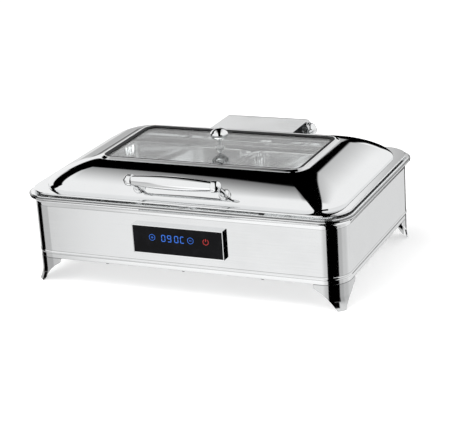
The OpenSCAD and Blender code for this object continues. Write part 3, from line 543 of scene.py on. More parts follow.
def round_edges(bm, least_angle, size):
    """Rounds each edge that is sharper than an angle in degrees."""
    sharp = []
    for edge in bm.edges:
        if len(edge.link_faces) == 2 and edge.calc_face_angle() > math.radians(least_angle):
            sharp.append(edge)
    bmesh.ops.bevel(bm, geom=sharp, offset=size, segments=2, profile=0.5, affect="EDGES",
                    clamp_overlap=True, material=-1)


def softened(node, edge, finish=None):
    """Replaces a part by a copy with softened edges and smooth round faces."""
    bm = bmesh.new()
    bm.from_mesh(frame["nodes"][node].data)
    bmesh.ops.remove_doubles(bm, verts=bm.verts, dist=2e-6)
    bmesh.ops.dissolve_limit(bm, angle_limit=math.radians(0.5), verts=bm.verts, edges=bm.edges)
    round_edges(bm, SHARP_EDGE, edge * MM)
    finish_piece(node + "_dressed", bm, [node], finish)


# Body

INLET_W = 28.4
INLET_H = 20.4
LIP_EDGE = 1.1
COLLAR_STEP = 0.3
BEAD_FOLD = 2.9
BODY_STEPS = 28


def open_back_wall(bm):
    """Cuts the opening of the mains inlet through both skins of the back wall."""
    mid = middle_of("power_inlet")
    inner_y = WALL_D - 2 * SHEET
    across, up = Vector((1, 0, 0)), Vector((0, 0, 1))
    cuts = [
        (across, mid.x - INLET_W / 2),
        (across, mid.x + INLET_W / 2),
        (up, mid.z - INLET_H / 2),
        (up, mid.z + INLET_H / 2),
    ]
    for axis, place in cuts:
        back = [face for face in bm.faces if face.calc_center_median().y > inner_y]
        skins = [face for face in back if abs(face.normal.y) > 0.99]
        geom = each_once(item for face in skins for item in (*face.verts, *face.edges, face))
        bmesh.ops.bisect_plane(bm, geom=geom, plane_co=axis * place, plane_no=axis, dist=0.001)
        bm.normal_update()
    inside = []
    for face in bm.faces:
        centre = face.calc_center_median()
        off = centre - mid
        if centre.y > inner_y and abs(off.x) < INLET_W / 2 and abs(off.z) < INLET_H / 2:
            inside.append(face)
    rim = each_once(edge for face in inside for edge in face.edges)
    bmesh.ops.delete(bm, geom=inside, context="FACES_ONLY")
    bmesh.ops.bridge_loops(bm, edges=rim)


def make_body():
    """Drawn wall with its bead, a collar that coves out to the rim and a rounded lip."""
    bead_half = math.degrees(math.acos((BEAD_R - BEAD_OUT) / BEAD_R))
    lip_low = RIM.z - LIP_H
    cove_r = RIM_OVER - COLLAR_OUT
    collar_z = lip_low - RIM_OVER - COLLAR_DROP
    bead_z = BODY_LOW + BEAD_UP
    edge = LIP_EDGE
    section = [
        (-TURN_IN, BODY_LOW),
        *arc(-edge, BODY_LOW + edge, edge, -90, 0, 4),
        *arc(BEAD_OUT - BEAD_R, bead_z, BEAD_R, -bead_half, bead_half, 12),
        (0, collar_z - COLLAR_STEP),
        (COLLAR_OUT - COLLAR_STEP, collar_z + COLLAR_STEP),
        *arc(RIM_OVER, lip_low - RIM_OVER, cove_r, 180, 93, 14),
        *arc(RIM_OVER - edge, lip_low - COLLAR_OUT + edge, edge, -90, 0, 4),
        *arc(RIM_OVER - edge, RIM.z - edge, edge, 0, 90, 5),
        (-SEAT_W, RIM.z),
        (-SEAT_W, RIM.z - SHEET),
        (-SHEET, lip_low - RIM_OVER),
        (-SHEET, BODY_LOW + SHEET),
        (-TURN_IN, BODY_LOW + SHEET),
    ]
    # Height, half width and strength of each painted shade line, dark lines that stand for shade and
    # dark reflections at the lip, collar, bead and foot of the wall
    shade_lines = (
        (RIM.z - 0.7, 0.7, 0.8),
        (lip_low - COLLAR_OUT + 0.5, 0.8, 0.75),
        (collar_z, 0.35, 0.5),
        (bead_z + BEAD_FOLD, 0.35, 0.5),
        (bead_z - BEAD_FOLD, 0.35, 0.5),
        (BODY_LOW + 0.4, 0.4, 0.5),
    )
    finish = steel("body_steel_painted_lines", *STEELS["wall_steel"], shade_lines)
    bm = hoop(section, WALL_W, WALL_D, WALL_R, BODY_STEPS)
    open_back_wall(bm)
    piece("body_wall", bm, ["body_shell"], finish)


def arch_and_nose():
    """Middles of a foot's arch and nose, and where they meet.

    Each is a distance from the corner's centre along the flank, and a height.
    """
    start, end = Vector((-FOOT_RUN, NOSE_Z)), Vector((WALL_R - TOE_W, 0))
    half = (end - start) / 2
    sink = math.sqrt(ARCH_R ** 2 - half.length_squared) / half.length
    arch = start + half + sink * Vector((half.y, -half.x))
    nose_x = NOSE_R - FOOT_RUN
    nose = Vector((nose_x, arch.y + math.sqrt((ARCH_R + NOSE_R) ** 2 - (nose_x - arch.x) ** 2)))
    return arch, nose, arch.lerp(nose, ARCH_R / (ARCH_R + NOSE_R))


def foot_underside(along):
    """Height of a foot's lower edge at a distance from the corner's centre along its flank."""
    arch, nose, meeting = arch_and_nose()
    if along < meeting.x:
        return nose.y - math.sqrt(max(NOSE_R ** 2 - (along - nose.x) ** 2, 0))
    if along < WALL_R - TOE_W:
        return arch.y + math.sqrt(ARCH_R ** 2 - (along - arch.x) ** 2)
    return 0


def foot_path(share):
    """Place and outward direction on the corner at a share of the foot's length."""
    quarter = WALL_R * math.pi / 2
    run = share * (2 * FOOT_RUN + quarter)
    turn = min(max(run - FOOT_RUN, 0), quarter) / WALL_R
    out = Vector((math.sin(turn), -math.cos(turn), 0))
    place = Vector((WALL_W - WALL_R, WALL_R - WALL_D, 0)) + out * WALL_R
    place += Vector((min(run - FOOT_RUN, 0), max(run - FOOT_RUN - quarter, 0), 0))
    return place, out


def make_foot(name, x, y):
    """A bracket foot that wraps a corner, flares out to the table and has an arch on both flanks."""
    curl = (FLARE_Z ** 2 + FLARE_OUT ** 2) / (2 * FLARE_OUT)
    bm = bmesh.new()
    bmesh.ops.create_grid(bm, x_segments=FOOT_COLUMNS, y_segments=FOOT_ROWS, size=0.5)
    top = [edge for edge in bm.edges if all(vert.co.y > 0.499 for vert in edge.verts)]
    ledge = new_points(bmesh.ops.extrude_edge_only(bm, edges=top))
    for vert in bm.verts:
        place, out = foot_path(vert.co.x + 0.5)
        along = min(place.x - WALL_W + WALL_R, WALL_R - WALL_D - place.y)
        low = foot_underside(along)
        z = low + (vert.co.y + 0.5) * (BODY_LOW - FOOT_PLAY - low)
        drop = max(FLARE_Z - z, 0)
        flare = curl - math.sqrt(curl ** 2 - drop ** 2)
        inward = TURN_IN if vert in ledge else 0
        vert.co = place + out * (flare - inward) + Vector((0, 0, z))
    bmesh.ops.recalc_face_normals(bm, faces=bm.faces)
    out = foot_path(0.5)[1]
    if sum(face.normal.dot(out) for face in bm.faces) < 0:
        bmesh.ops.reverse_faces(bm, faces=bm.faces)
    bmesh.ops.solidify(bm, geom=bm.faces, thickness=FOOT_T)
    round_edges(bm, 60, 0.5)
    for vert in bm.verts:
        vert.co.z = max(vert.co.z, 0)
    bmesh.ops.scale(bm, vec=(x, -y, 1), verts=bm.verts)
    piece(name + "_bracket", bm, [name], SHADED_FOOT_STEEL)


# Pans

# Half width, half depth and corner radius of the water bath at its rim, above its ledge and below it
BATH_RIM = (297, 194, 47)
BATH_UPPER = (281.5, 178.5, 31.5)
BATH_TUB = (259.5, 156.5, 28)
BATH_FILLET = 9
LEDGE_DROP = 9
PAN_T = 1.4
PAN_RIM = 9
PAN_R = 30
PAN_DRAFT = 2.2
PAN_FILLET = 11
DIVIDER_T = 2
WEB_HALF = 1


def make_water_pan():
    """Water bath with a stepped ledge for the food pans."""
    rim, upper, tub, fillet, t = BATH_RIM, BATH_UPPER, BATH_TUB, BATH_FILLET, PAN_T
    top = RIM.z + t
    ledge = RIM.z - LEDGE_DROP + t
    low = corners("water_pan")[0].z

    def ring(outline, inset, z):
        return (outline[0] - inset, outline[1] - inset, outline[2] - inset, z)

    def bend(outline, inset, z, radius, start, end):
        return [ring(outline, -x + inset, h) for x, h in arc(0, z, radius, start, end, 4)]

    bm = bmesh.new()
    loft(bm, [
        ring(tub, fillet, low),
        *bend(tub, fillet, low + fillet, fillet, -80, 0),
        ring(tub, 0, ledge - t),
        ring(upper, 0, ledge - t),
        ring(upper, 0, RIM.z),
        ring(rim, 0.4, RIM.z),
        ring(rim, 0, RIM.z + t / 2),
        ring(rim, 0.4, top),
        ring(upper, -0.8, top),
        ring(upper, 0.6, top - 0.5),
        ring(upper, t, top - 2),
        ring(upper, t, ledge + 1.5),
        ring(upper, t + 0.5, ledge + 0.5),
        ring(upper, t + 1.6, ledge),
        ring(tub, -0.6, ledge),
        ring(tub, t - 0.4, ledge - 0.5),
        ring(tub, t, ledge - 2),
        ring(tub, t, low + fillet),
        *bend(tub, fillet + t, low + fillet + t, fillet, 0, -80),
        ring(tub, fillet + t, low + t),
    ])
    piece("water_bath", bm, ["water_pan"])


def make_food_pan(name):
    """Half-size food pan with a rolled rim, drafted walls and a rounded bottom."""
    low, high = corners(name)
    half = (high - low) / 2
    t, rim_in, fillet = PAN_T, PAN_RIM, PAN_FILLET
    floor_in = rim_in + PAN_DRAFT + fillet

    def ring(inset, z, radius=None):
        r = max(PAN_R - inset, 4) if radius is None else radius
        return (half.x - inset, half.y - inset, r, z)

    def bend(inset, z, start, end, radius):
        return [ring(inset - x, h) for x, h in arc(0, z, radius, start, end, 6)]

    bottom = low.z
    bm = bmesh.new()
    loft(bm, [
        ring(floor_in, bottom, 12),
        *bend(floor_in, bottom + fillet, -75, 0, fillet),
        ring(rim_in, high.z - 4),
        ring(rim_in - 0.8, high.z - t),
        ring(1.2, high.z - t),
        ring(0.3, high.z - t + 0.2),
        ring(0, high.z - t / 2),
        ring(0.3, high.z - 0.2),
        ring(1.2, high.z),
        ring(rim_in - 1.6, high.z),
        ring(rim_in + 0.2, high.z - 0.5),
        ring(rim_in + 1.1, high.z - 1.6),
        ring(rim_in + t, high.z - 3.4),
        *bend(floor_in + t, bottom + fillet + t, 0, -75, fillet),
        ring(floor_in + t, bottom + t, 11),
    ])
    bmesh.ops.translate(bm, vec=(middle_of(name).x, 0, 0), verts=bm.verts)
    piece(name + "_drawn", bm, [name])


def make_divider():
    """T-shaped bar between the food pans, with a rounded back."""
    low, high = corners("divider_bar")
    half, under, edge = high.x, high.z - DIVIDER_T, DIVIDER_T / 2
    bm = bmesh.new()
    section = [
        (-half, under),
        (-WEB_HALF, under),
        (-WEB_HALF, low.z),
        (WEB_HALF, low.z),
        (WEB_HALF, under),
        (half, under),
        *arc(half - edge, high.z - edge, edge, 0, 90, 4),
        *arc(edge - half, high.z - edge, edge, 90, 180, 4),
    ]
    face = bm.faces.new([bm.verts.new((x, low.y, z)) for x, z in section])
    far = new_points(bmesh.ops.extrude_face_region(bm, geom=[face]))
    bmesh.ops.translate(bm, vec=(0, high.y - low.y, 0), verts=far)
    piece("pan_divider", bm, ["divider_bar"])


# Lid

DOME_STATIONS = 44
UNDER_STATIONS = 14
DOME_CREASE = 14
FLANGE_EDGE = 1.0
FOLD = 0.2
FRAME_BAND = 7.5
FRAME_LIP = 4
FRAME_SLANT = 64.4
FRAME_SLANT_W = 5.5
GASKET_W = 14
GASKET_EDGE = 0.8
GASKET_PLAY = 0.3
KNOB_SIDE_R = 7
KNOB_FLAT = 0.6


def dome_ring(share, inset=0.0):
    """One station of the dome at a share of its way up."""
    turn = math.radians(90 * share)
    came_in = 1 - math.cos(turn) ** (2 / DOME_P) if share < 1 else 1
    risen = math.sin(turn) ** (2 / DOME_P)
    foot_w = LID_HIGH.x - FLANGE_W - STEP_W
    foot_d = LID_HIGH.y - FLANGE_W - STEP_W
    dome_z = LID_LOW.z + FLANGE_T + STEP_H
    return (
        foot_w + (FRAME_HIGH.x - foot_w) * came_in - inset,
        foot_d + (FRAME_HIGH.y - foot_d) * came_in - inset,
        DOME_R + (FRAME_R - DOME_R) * came_in - inset / 2,
        dome_z + (TOP_Z - dome_z) * risen - inset,
    )


def make_lid():
    """Polished dome on a flat flange, open under the window."""
    edge = FLANGE_EDGE
    top = LID_LOW.z + FLANGE_T

    def flange(inset, z):
        return (LID_HIGH.x - inset, LID_HIGH.y - inset, FLANGE_R - inset / 4, z)

    land = (FRAME_HIGH.x - LAND_W, FRAME_HIGH.y - LAND_W, FRAME_R - LAND_W)
    rings = [flange(edge - x, z) for x, z in arc(0, LID_LOW.z + edge, edge, -90, 0, 4)]
    rings += [flange(edge - x, z) for x, z in arc(0, top - edge, edge, 0, 90, 4)]
    foot_w, foot_d, foot_r, _ = dome_ring(0)
    rings += [(foot_w + FOLD, foot_d + FOLD, foot_r + FOLD, top)]
    rings += [dome_ring(k / DOME_STATIONS) for k in range(DOME_STATIONS + 1)]
    rings += [(*land, TOP_Z), (*land, TOP_Z - LID_T)]
    rings += [dome_ring(1 - k / UNDER_STATIONS, LID_T) for k in range(UNDER_STATIONS + 1)]
    rings += [(*dome_ring(0, LID_T)[:3], LID_LOW.z)]
    bm = bmesh.new()
    loft(bm, rings, True, BODY_STEPS)
    piece("lid_dome", bm, ["lid_shell"], crease=DOME_CREASE)


def make_window():
    """Polished frame, black gasket and the glass with its hole for the vent stem."""
    band, lip = FRAME_BAND, FRAME_LIP
    gasket_low, gasket_high = corners("window_gasket")
    top = FRAME_HIGH.z
    frame_section = [
        (-lip, TOP_Z),
        *arc(-0.3, TOP_Z + 0.3, 0.3, -90, FRAME_SLANT, 5),
        *arc(-FRAME_SLANT_W, top - 1.2, 1.2, FRAME_SLANT, 90, 4),
        *arc(-band + 0.4, top - 0.4, 0.4, 90, 180, 4),
        (-band, gasket_high.z),
        (-lip, gasket_high.z),
    ]
    half_w, half_d = FRAME_HIGH.x, FRAME_HIGH.y
    piece("window_trim", hoop(frame_section, half_w, half_d, FRAME_R), ["window_frame"])
    glass_low, glass_high = corners("window_glass")
    glass_in = half_w - glass_high.x
    land, groove = -LAND_W - GASKET_PLAY, GASKET_PLAY - glass_in
    gasket_edge = GASKET_EDGE
    gasket_section = [
        (-lip, gasket_low.z),
        (-lip, TOP_Z - LID_T),
        (land, TOP_Z - LID_T),
        (land, TOP_Z),
        (-lip, TOP_Z),
        (-lip, gasket_high.z),
        *arc(gasket_edge - GASKET_W, gasket_high.z - gasket_edge, gasket_edge, 90, 180, 4),
        (-GASKET_W, glass_high.z),
        (groove, glass_high.z),
        (groove, glass_low.z),
        (-GASKET_W, glass_low.z),
        *arc(gasket_edge - GASKET_W, gasket_low.z + gasket_edge, gasket_edge, 180, 270, 4),
    ]
    piece("window_seal", hoop(gasket_section, half_w, half_d, FRAME_R), ["window_gasket"])
    bm = bmesh.new()
    outer = rounded_ring(bm, glass_high.x, glass_high.y, FRAME_R - glass_in, glass_low.z)
    hole = bmesh.ops.create_circle(bm, cap_ends=False, radius=STEM_R + 0.2, segments=32)["verts"]
    bmesh.ops.translate(bm, vec=(0, 0, glass_low.z), verts=hole)
    rim = each_once(edge for vert in hole for edge in vert.link_edges)
    bmesh.ops.triangle_fill(bm, edges=outer + rim, use_beauty=True)
    upper = new_points(bmesh.ops.extrude_face_region(bm, geom=bm.faces[:]))
    bmesh.ops.translate(bm, vec=(0, 0, glass_high.z - glass_low.z), verts=upper)
    pane = piece("window_pane", bm, ["window_glass"])
    # Clear glass casts no shadow, so that the studio lights the pans
    pane.visible_shadow = False


def make_vent():
    """Flattened ball knob on its stem, with a washer on the glass and a nut under it."""
    cap_low, cap_high = corners("vent_cap")
    radius, side_r, flat = cap_high.x, KNOB_SIDE_R, KNOB_FLAT
    half = (cap_high.z - cap_low.z + flat) / 2
    mid, reach = cap_high.z - half, radius - side_r
    crown_r = (half ** 2 + reach ** 2 - side_r ** 2) / (2 * (half - side_r))
    lean = math.degrees(math.atan2(crown_r - half, reach))
    seat = math.degrees(math.acos(1 - flat / crown_r))
    bm = bmesh.new()
    turned(bm, [
        (0, cap_low.z),
        *arc(0, mid - half + crown_r, crown_r, seat - 90, -lean, 14),
        *arc(reach, mid, side_r, -lean, lean, 16),
        *arc(0, mid + half - crown_r, crown_r, lean, 90, 16),
    ], 72)
    piece("vent_knob", bm, ["vent_cap"])
    low, high = corners("vent_stem")
    washer_low, washer_high = corners("vent_washer")
    stem, collar, seat_z = STEM_R, high.x, washer_high.z
    edge, cove = 0.6, 1.4
    bm = bmesh.new()
    turned(bm, [
        (0, low.z),
        (stem - edge, low.z),
        (stem, low.z + edge),
        (stem, seat_z),
        *arc(collar - edge, seat_z + edge, edge, -90, 0, 3),
        *arc(collar - edge, seat_z + 1.4, edge, 0, 90, 3),
        *arc(stem + cove, seat_z + 2 + cove, cove, 270, 180, 4),
        (stem, cap_low.z),
        (0, cap_low.z),
    ], 48)
    piece("vent_post", bm, ["vent_stem"], SATIN_STEM)
    bm = bmesh.new()
    outer, bore, edge = washer_high.x, stem + 0.06, 0.5
    turned(bm, [
        (bore, washer_low.z),
        *arc(outer - edge, washer_low.z + edge, edge, -90, 0, 3),
        *arc(outer - edge, washer_high.z - edge, edge, 0, 90, 3),
        (bore, washer_high.z),
        (bore, washer_low.z),
    ], 48)
    piece("vent_seal", bm, ["vent_washer"])
    softened("vent_nut", 0.5, SATIN_STEM)


# Handle

GRIP_END_R = 8
GRIP_BORE_R = 4
POST_TILT = 36
POST_L = 40
BASE_SLOPE = 42.03
BASE_H = 4
BASE_R = 10
DRUM_R = 10
DRUM_L = 6
POST_R = 5


def make_grip():
    """Barrel grip that swells to its middle."""
    low, high = corners("handle_grip")
    mid = (low + high) / 2
    half, swell = high.x, (high.z - low.z) / 2
    belly = swell - GRIP_END_R
    bow = (half ** 2 + belly ** 2) / (2 * belly)
    reach = math.degrees(math.asin(half / bow))
    bm = bmesh.new()
    barrel = [(r + swell - bow, z) for r, z in arc(0, 0, bow, -reach, reach, 40)]
    verts = turned(bm, [(GRIP_BORE_R, 1 - half), *barrel, (GRIP_BORE_R, half - 1)], 64)
    point_along(bm, verts, Vector((1, 0, 0)), mid)
    piece("grip_barrel", bm, ["handle_grip"])


def make_post(name, side):
    """A domed drum on a tapered post that stands on a round foot on the lid's slope."""
    grip = middle_of("handle_grip")
    knuckle_x = side * (corners("handle_post_right")[1].x - DRUM_R)
    knuckle = Vector((knuckle_x, grip.y, grip.z))
    tilt = math.radians(POST_TILT)
    slope = math.radians(BASE_SLOPE)
    axis = Vector((0, -math.cos(tilt), math.sin(tilt)))
    normal = Vector((0, -math.sin(slope), math.cos(slope)))
    seat = knuckle - axis * POST_L
    bm = bmesh.new()
    verts = turned(bm, [
        (0, 0.5 - POST_L),
        (POST_R + 2.5, 0.5 - POST_L),
        *arc(POST_R + 4, 5.5 - POST_L, 4, 230, 180, 6),
        (POST_R, -POST_R),
        (0, -POST_R),
    ], 48)
    point_along(bm, verts, axis, knuckle)
    verts = turned(bm, [
        (0, -DRUM_L),
        *arc(DRUM_R - 0.6, 0.6 - DRUM_L, 0.6, -90, 0, 3),
        *arc(0, 0, DRUM_R, 0, 90, 16),
    ], 56)
    point_along(bm, verts, Vector((side, 0, 0)), knuckle)
    verts = turned(bm, [
        (0, -BASE_H),
        (BASE_R, -BASE_H),
        *arc(BASE_R - 1.6, -1.6, 1.6, 0, 90, 6),
        (0, 0.4),
    ], 48)
    point_along(bm, verts, normal, seat)
    piece(name.replace("handle_", "") + "_turned", bm, [name])


# Front panel

BEZEL_W = 2
BEZEL_SEAT = 5


def face_front(bm, verts, z, y):
    """Stands what was drawn flat upright, facing the front."""
    bmesh.ops.rotate(bm, cent=(0, 0, 0), matrix=Matrix.Rotation(math.pi / 2, 3, "X"), verts=verts)
    bmesh.ops.translate(bm, vec=(0, y, z), verts=verts)


def make_panel():
    """Thin bright bezel round a black touch glass."""
    low, high = corners("control_bezel")
    half_w, half_h = high.x, (high.z - low.z) / 2
    mid_z = (low.z + high.z) / 2
    depth = -WALL_D - low.y
    glass_low, glass_high = corners("control_glass")
    seat = -WALL_D - glass_high.y
    face = -WALL_D - glass_low.y
    bm = bmesh.new()
    loft(bm, [
        (half_w, half_h, 1.6, 0),
        (half_w, half_h, 1.6, depth - 0.7),
        (half_w - 0.2, half_h - 0.2, 1.4, depth - 0.2),
        (half_w - 0.7, half_h - 0.7, 1, depth),
        (half_w - 1.6, half_h - 1.6, 0.8, depth),
        (half_w - BEZEL_W, half_h - BEZEL_W, 0.6, depth - 0.4),
        (half_w - BEZEL_W, half_h - BEZEL_W, 0.6, seat),
        (half_w - BEZEL_SEAT, half_h - BEZEL_SEAT, 0.6, seat),
        (half_w - BEZEL_SEAT, half_h - BEZEL_SEAT, 0.6, 0),
    ], True, 5)
    face_front(bm, bm.verts, mid_z, -WALL_D)
    piece("panel_bezel", bm, ["control_bezel"])
    w, h = glass_high.x, (glass_high.z - glass_low.z) / 2
    bm = bmesh.new()
    loft(bm, [
        (w, h, 0.8, seat),
        (w, h, 0.8, face - 0.4),
        (w - 0.12, h - 0.12, 0.7, face - 0.12),
        (w - 0.4, h - 0.4, 0.5, face),
    ], False, 4)
    face_front(bm, bm.verts, mid_z, -WALL_D)
    piece("panel_touch_glass", bm, ["control_glass"])


MARK_Z = 105.2
MARK_T = 0.12
DIGIT_W = 6.2
DIGIT_H = 11
STROKE = 1.25
FINE_STROKE = 0.7
STROKE_GAP = 0.35
SEGMENTS = {"0": "abcdef", "9": "abcdfg", "C": "adef"}
DISPLAY = (("0", -26), ("9", -15), ("0", -2), ("C", 9))
PLUS_X = -47
MINUS_X = 24
TOUCH_R = 5.7
DASH_L = 5.2
POWER_X = 52
POWER_R = 5.4
POWER_BAR_Z = 3.2
POWER_GAP = 0.55


def bar(bm, x, z, length, thick, upright):
    """A lit stroke with pointed ends."""
    half, wide = length / 2, thick / 2
    flat = half - wide
    outline = [(-half, 0), (-flat, wide), (flat, wide), (half, 0), (flat, -wide), (-flat, -wide)]
    if upright:
        outline = [(-v, u) for u, v in outline]
    bm.faces.new([bm.verts.new((x + u, z + v, 0)) for u, v in outline])


def digit(bm, sign, x):
    """A seven-stroke sign, middle at x."""
    w, h = DIGIT_W / 2, DIGIT_H / 2
    strokes = {
        "a": (0, h, False), "g": (0, 0, False), "d": (0, -h, False),
        "b": (w, h / 2, True), "c": (w, -h / 2, True), "f": (-w, h / 2, True), "e": (-w, -h / 2, True),
    }
    for name in SEGMENTS[sign]:
        u, v, upright = strokes[name]
        bar(bm, x + u, v, (h if upright else 2 * w) - STROKE_GAP, STROKE, upright)


def circle_sign(bm, x, radius, thick, start=0.0, sweep=math.tau):
    """A lit ring, or an arc of one."""
    geom = chain(bm, [(x + radius, 0, 0), (x + radius - thick, 0, 0)])
    verts = geom[:2]
    bmesh.ops.rotate(bm, cent=(x, 0, 0), matrix=Matrix.Rotation(start, 3, "Z"), verts=verts)
    bmesh.ops.spin(bm, geom=geom, cent=(x, 0, 0), axis=(0, 0, 1), angle=sweep, steps=40,
                   use_merge=sweep > math.tau - 0.01)


def light_marks(name, bm, finish):
    """Gives flat signs a little thickness and sets them on the touch glass."""
    bmesh.ops.recalc_face_normals(bm, faces=bm.faces)
    for face in bm.faces:
        if face.normal.z < 0:
            face.normal_flip()
    upper = new_points(bmesh.ops.extrude_face_region(bm, geom=bm.faces[:]))
    bmesh.ops.translate(bm, vec=(0, 0, MARK_T), verts=upper)
    face_front(bm, bm.verts, MARK_Z, corners("control_glass")[0].y)
    set_in_frame(bm)
    finish_piece(name, bm, [], finish, carried_by="control_glass")


def make_marks():
    """Display and touch signs of the panel."""
    bm = bmesh.new()
    for sign, x in DISPLAY:
        digit(bm, sign, x)
    for x in (PLUS_X, MINUS_X):
        circle_sign(bm, x, TOUCH_R, FINE_STROKE)
        bar(bm, x, 0, DASH_L, FINE_STROKE, False)
    bar(bm, PLUS_X, 0, DASH_L, FINE_STROKE, True)
    light_marks("panel_lamps_blue", bm, LAMP_BLUE)
    bm = bmesh.new()
    circle_sign(bm, POWER_X, POWER_R, STROKE * 0.8, math.pi / 2 + POWER_GAP, math.tau - 2 * POWER_GAP)
    bar(bm, POWER_X, POWER_BAR_Z, POWER_R, STROKE, True)
    light_marks("panel_lamp_red", bm, LAMP_RED)


# Hinge and fasteners

def make_hinge_caps():
    """Domed caps over the ends of the hinge pin."""
    low, high = corners("hinge_caps")
    mid = (low + high) / 2
    inner = corners("hinge_pin")[1].x
    height, radius = high.x - inner, (high.z - low.z) / 2
    crown = height - 2
    crown_r = (radius ** 2 + crown ** 2) / (2 * crown)
    reach = math.degrees(math.asin(radius / crown_r)) if crown < radius else 90
    bm = bmesh.new()
    for side in (-1, 1):
        verts = turned(bm, [
            (0, 0),
            (radius - 0.5, 0),
            (radius, 0.5),
            *arc(0, height - crown_r, crown_r, 90 - reach, 90, 16),
        ], 56)
        point_along(bm, verts, Vector((side, 0, 0)), Vector((side * inner, mid.y, mid.z)))
    piece("hinge_end_caps", bm, ["hinge_caps"])


for y, row in ((-1, "front"), (1, "back")):
    make_foot(f"foot_{row}_left", -1, y)
    make_foot(f"foot_{row}_right", 1, y)
make_body()
make_water_pan()
make_food_pan("food_pan_left")
make_food_pan("food_pan_right")
make_divider()
make_lid()
make_window()
make_vent()
make_grip()
make_post("handle_post_left", -1)
make_post("handle_post_right", 1)
make_panel()
make_marks()
make_hinge_caps()
softened("lid_arm", 0.5, SATIN_ARM)
for node_name in ("hinge_bracket", "power_inlet", "bottom_cover"):
    softened(node_name, 0.5)
for owner in ("cover", "foot", "bracket", "inlet"):
    softened(owner + "_screws", 0.3)


# Studio

SCREEN_LEVEL = 0.97
SLIT_HEADING = 25
GAP_BLUR = 3
TABLE_GAIN = 1.2
FLOOR_HALF = 30
FLOOR_GLOW = 0.45
LAMP_PLACE = Vector((-0.6, -0.8, 2.6))
LAMP_TARGET = Vector((0, 0, 0.1))
LAMP_SIZE = 2.4
LAMP_POWER = 40


class Sky(Tree):
    """The white tent round the dish: masks over its directions, in degrees.

    A heading of 0 is the front of the dish and 90 its right; rise is the height above the horizon.
    """

    def __init__(self, world):
        super().__init__(world)
        self.ray = self.add("ShaderNodeTexCoord", output="Generated")
        self.rise = self.degrees("ARCSINE", self.along((0, 0, 1)))

    def along(self, axis):
        sockets = {0: self.ray, 1: axis}
        return self.add("ShaderNodeVectorMath", {"operation": "DOT_PRODUCT"}, sockets, "Value")

    def degrees(self, operation, *terms):
        angle = terms[0].math(operation, *terms)
        return angle.math("DEGREES", angle)

    def side_and_front(self, heading):
        """How far a direction points across a heading and along it."""
        a = math.radians(heading)
        return self.along((math.cos(a), math.sin(a), 0)), self.along((math.sin(a), -math.cos(a), 0))

    def gap(self, left, right, low, high, soft=GAP_BLUR):
        """A gap between two headings and two heights."""
        half, blur = (right - left) / 2, soft / 2
        turn = self.degrees("ARCTAN2", *self.side_and_front((left + right) / 2))
        across = abs(turn).ramp(half + blur, half - blur)
        upright = self.rise.ramp(low - blur, low + blur) * self.rise.ramp(high + blur, high - blur)
        return across * upright

    def strongest(self, masks):
        top = masks[0]
        for mask in masks[1:]:
            top = top.math("MAXIMUM", top, mask)
        return top


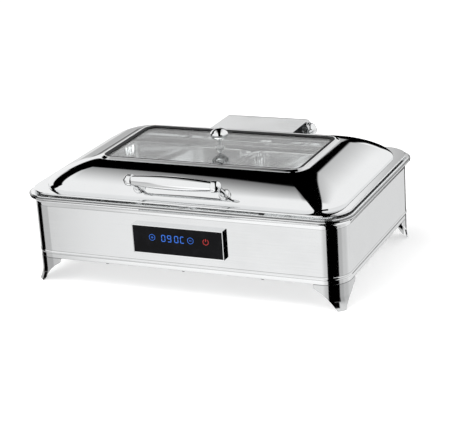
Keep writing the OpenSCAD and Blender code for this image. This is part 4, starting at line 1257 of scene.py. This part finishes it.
def make_world():
    """A white tent with dark gaps between its screens, as polished steel shows them."""
    world = bpy.data.worlds.new("studio")
    bpy.context.scene.world = world
    sky = Sky(world)
    side, front = sky.side_and_front(SLIT_HEADING)
    behind = front.ramp(0.12, -0.08)
    overhead = sky.rise.ramp(20.5, 22)
    slit_left = (side + behind * sky.rise.ramp(57, 44, 0, 0.15)).ramp(-0.212, -0.188)
    slit = slit_left * side.ramp(0.256, 0.232)
    gaps = [
        slit * overhead.math("MAXIMUM", overhead, 1 - behind),
        sky.gap(25, 69, -80, -5),
        sky.gap(25, 61, -5, 21),
        sky.gap(-110, -73, -32, -12),
        sky.gap(-101, -73, -12, 36),
        sky.gap(-146, -77, 24, 46),
        sky.gap(-172, -165, 4, 23),
        sky.gap(-168, -161.5, 10, 21) * 0.5,
        sky.gap(-179, -156, -32, 14),
        sky.gap(-194, -154, -30, -10),
        sky.gap(-154, -145, 6, 12) * 0.8,
        sky.gap(-154, -145, -5, 6) * 0.5,
        sky.gap(-154, -145, -14, -5) * 0.2,
        sky.gap(-154, -145, -30, -14) * 0.7,
        sky.rise.ramp(-68, -71),
    ]
    shades = [
        sky.gap(-5, 82, -60, 0, soft=24) * 0.3,
        sky.gap(58, 96, -60, 0, soft=24) * 0.46,
        sky.gap(58, 128, -60, 0, soft=44) * 0.32,
        sky.gap(130, 180, -45, -4, soft=12) * 0.17,
        sky.gap(-125, -31.3, -60, 0, soft=4) * 0.42,
    ]
    right = side.ramp(-0.02, 0.02)
    fall = side.ramp(-0.14, -0.5, 0.12, 1) * (1 - right) + side.ramp(0.22, 0.53, 0.58, 1) * right
    graded = behind * overhead
    table = sky.rise.ramp(-21, -25, 1, TABLE_GAIN)
    level = (1 - sky.strongest(gaps)) * (1 - sky.strongest(shades)) * (1 - graded * (1 - fall)) * table
    level = level * SCREEN_LEVEL
    for kind in ("Is Camera Ray", "Is Transmission Ray"):
        level = level.math("MAXIMUM", level, sky.add("ShaderNodeLightPath", output=kind))
    light = sky.add("ShaderNodeBackground", {}, {"Color": (1, 1, 1, 1), "Strength": level})
    sky.add("ShaderNodeOutputWorld", {}, {"Surface": light})


def make_floor():
    """A pale table that shows white in the picture and keeps the shadow of the dish."""
    material = bpy.data.materials.new("pale_floor")
    tree = Tree(material)
    speckle = tree.noise(30, 3)
    matt = tree.add("ShaderNodeBsdfDiffuse", {}, {"Color": tree.mix(speckle, grey(0.90), grey(0.92))})
    seen = tree.add("ShaderNodeLightPath", output="Is Camera Ray")
    glow = tree.add("ShaderNodeEmission", {}, {"Color": (1, 1, 1, 1), "Strength": seen * FLOOR_GLOW})
    both = tree.add("ShaderNodeAddShader", {}, {0: matt, 1: glow})
    tree.add("ShaderNodeOutputMaterial", {}, {"Surface": both})
    bm = bmesh.new()
    bmesh.ops.create_grid(bm, x_segments=1, y_segments=1, size=FLOOR_HALF)
    mesh = bpy.data.meshes.new("pale_floor")
    bm.to_mesh(mesh)
    bm.free()
    mesh.materials.append(material)
    floor = bpy.data.objects.new("pale_floor", mesh)
    floor.visible_glossy = False
    bpy.context.scene.collection.objects.link(floor)


def make_lamp():
    """A large soft lamp that steel doesn't mirror."""
    data = bpy.data.lights.new("top_lamp", "AREA")
    data.size = LAMP_SIZE
    data.energy = LAMP_POWER
    lamp = bpy.data.objects.new("top_lamp", data)
    lamp.location = LAMP_PLACE
    lamp.rotation_euler = (LAMP_TARGET - LAMP_PLACE).to_track_quat("-Z", "Y").to_euler()
    lamp.visible_glossy = False
    bpy.context.scene.collection.objects.link(lamp)


make_world()
make_floor()
make_lamp()
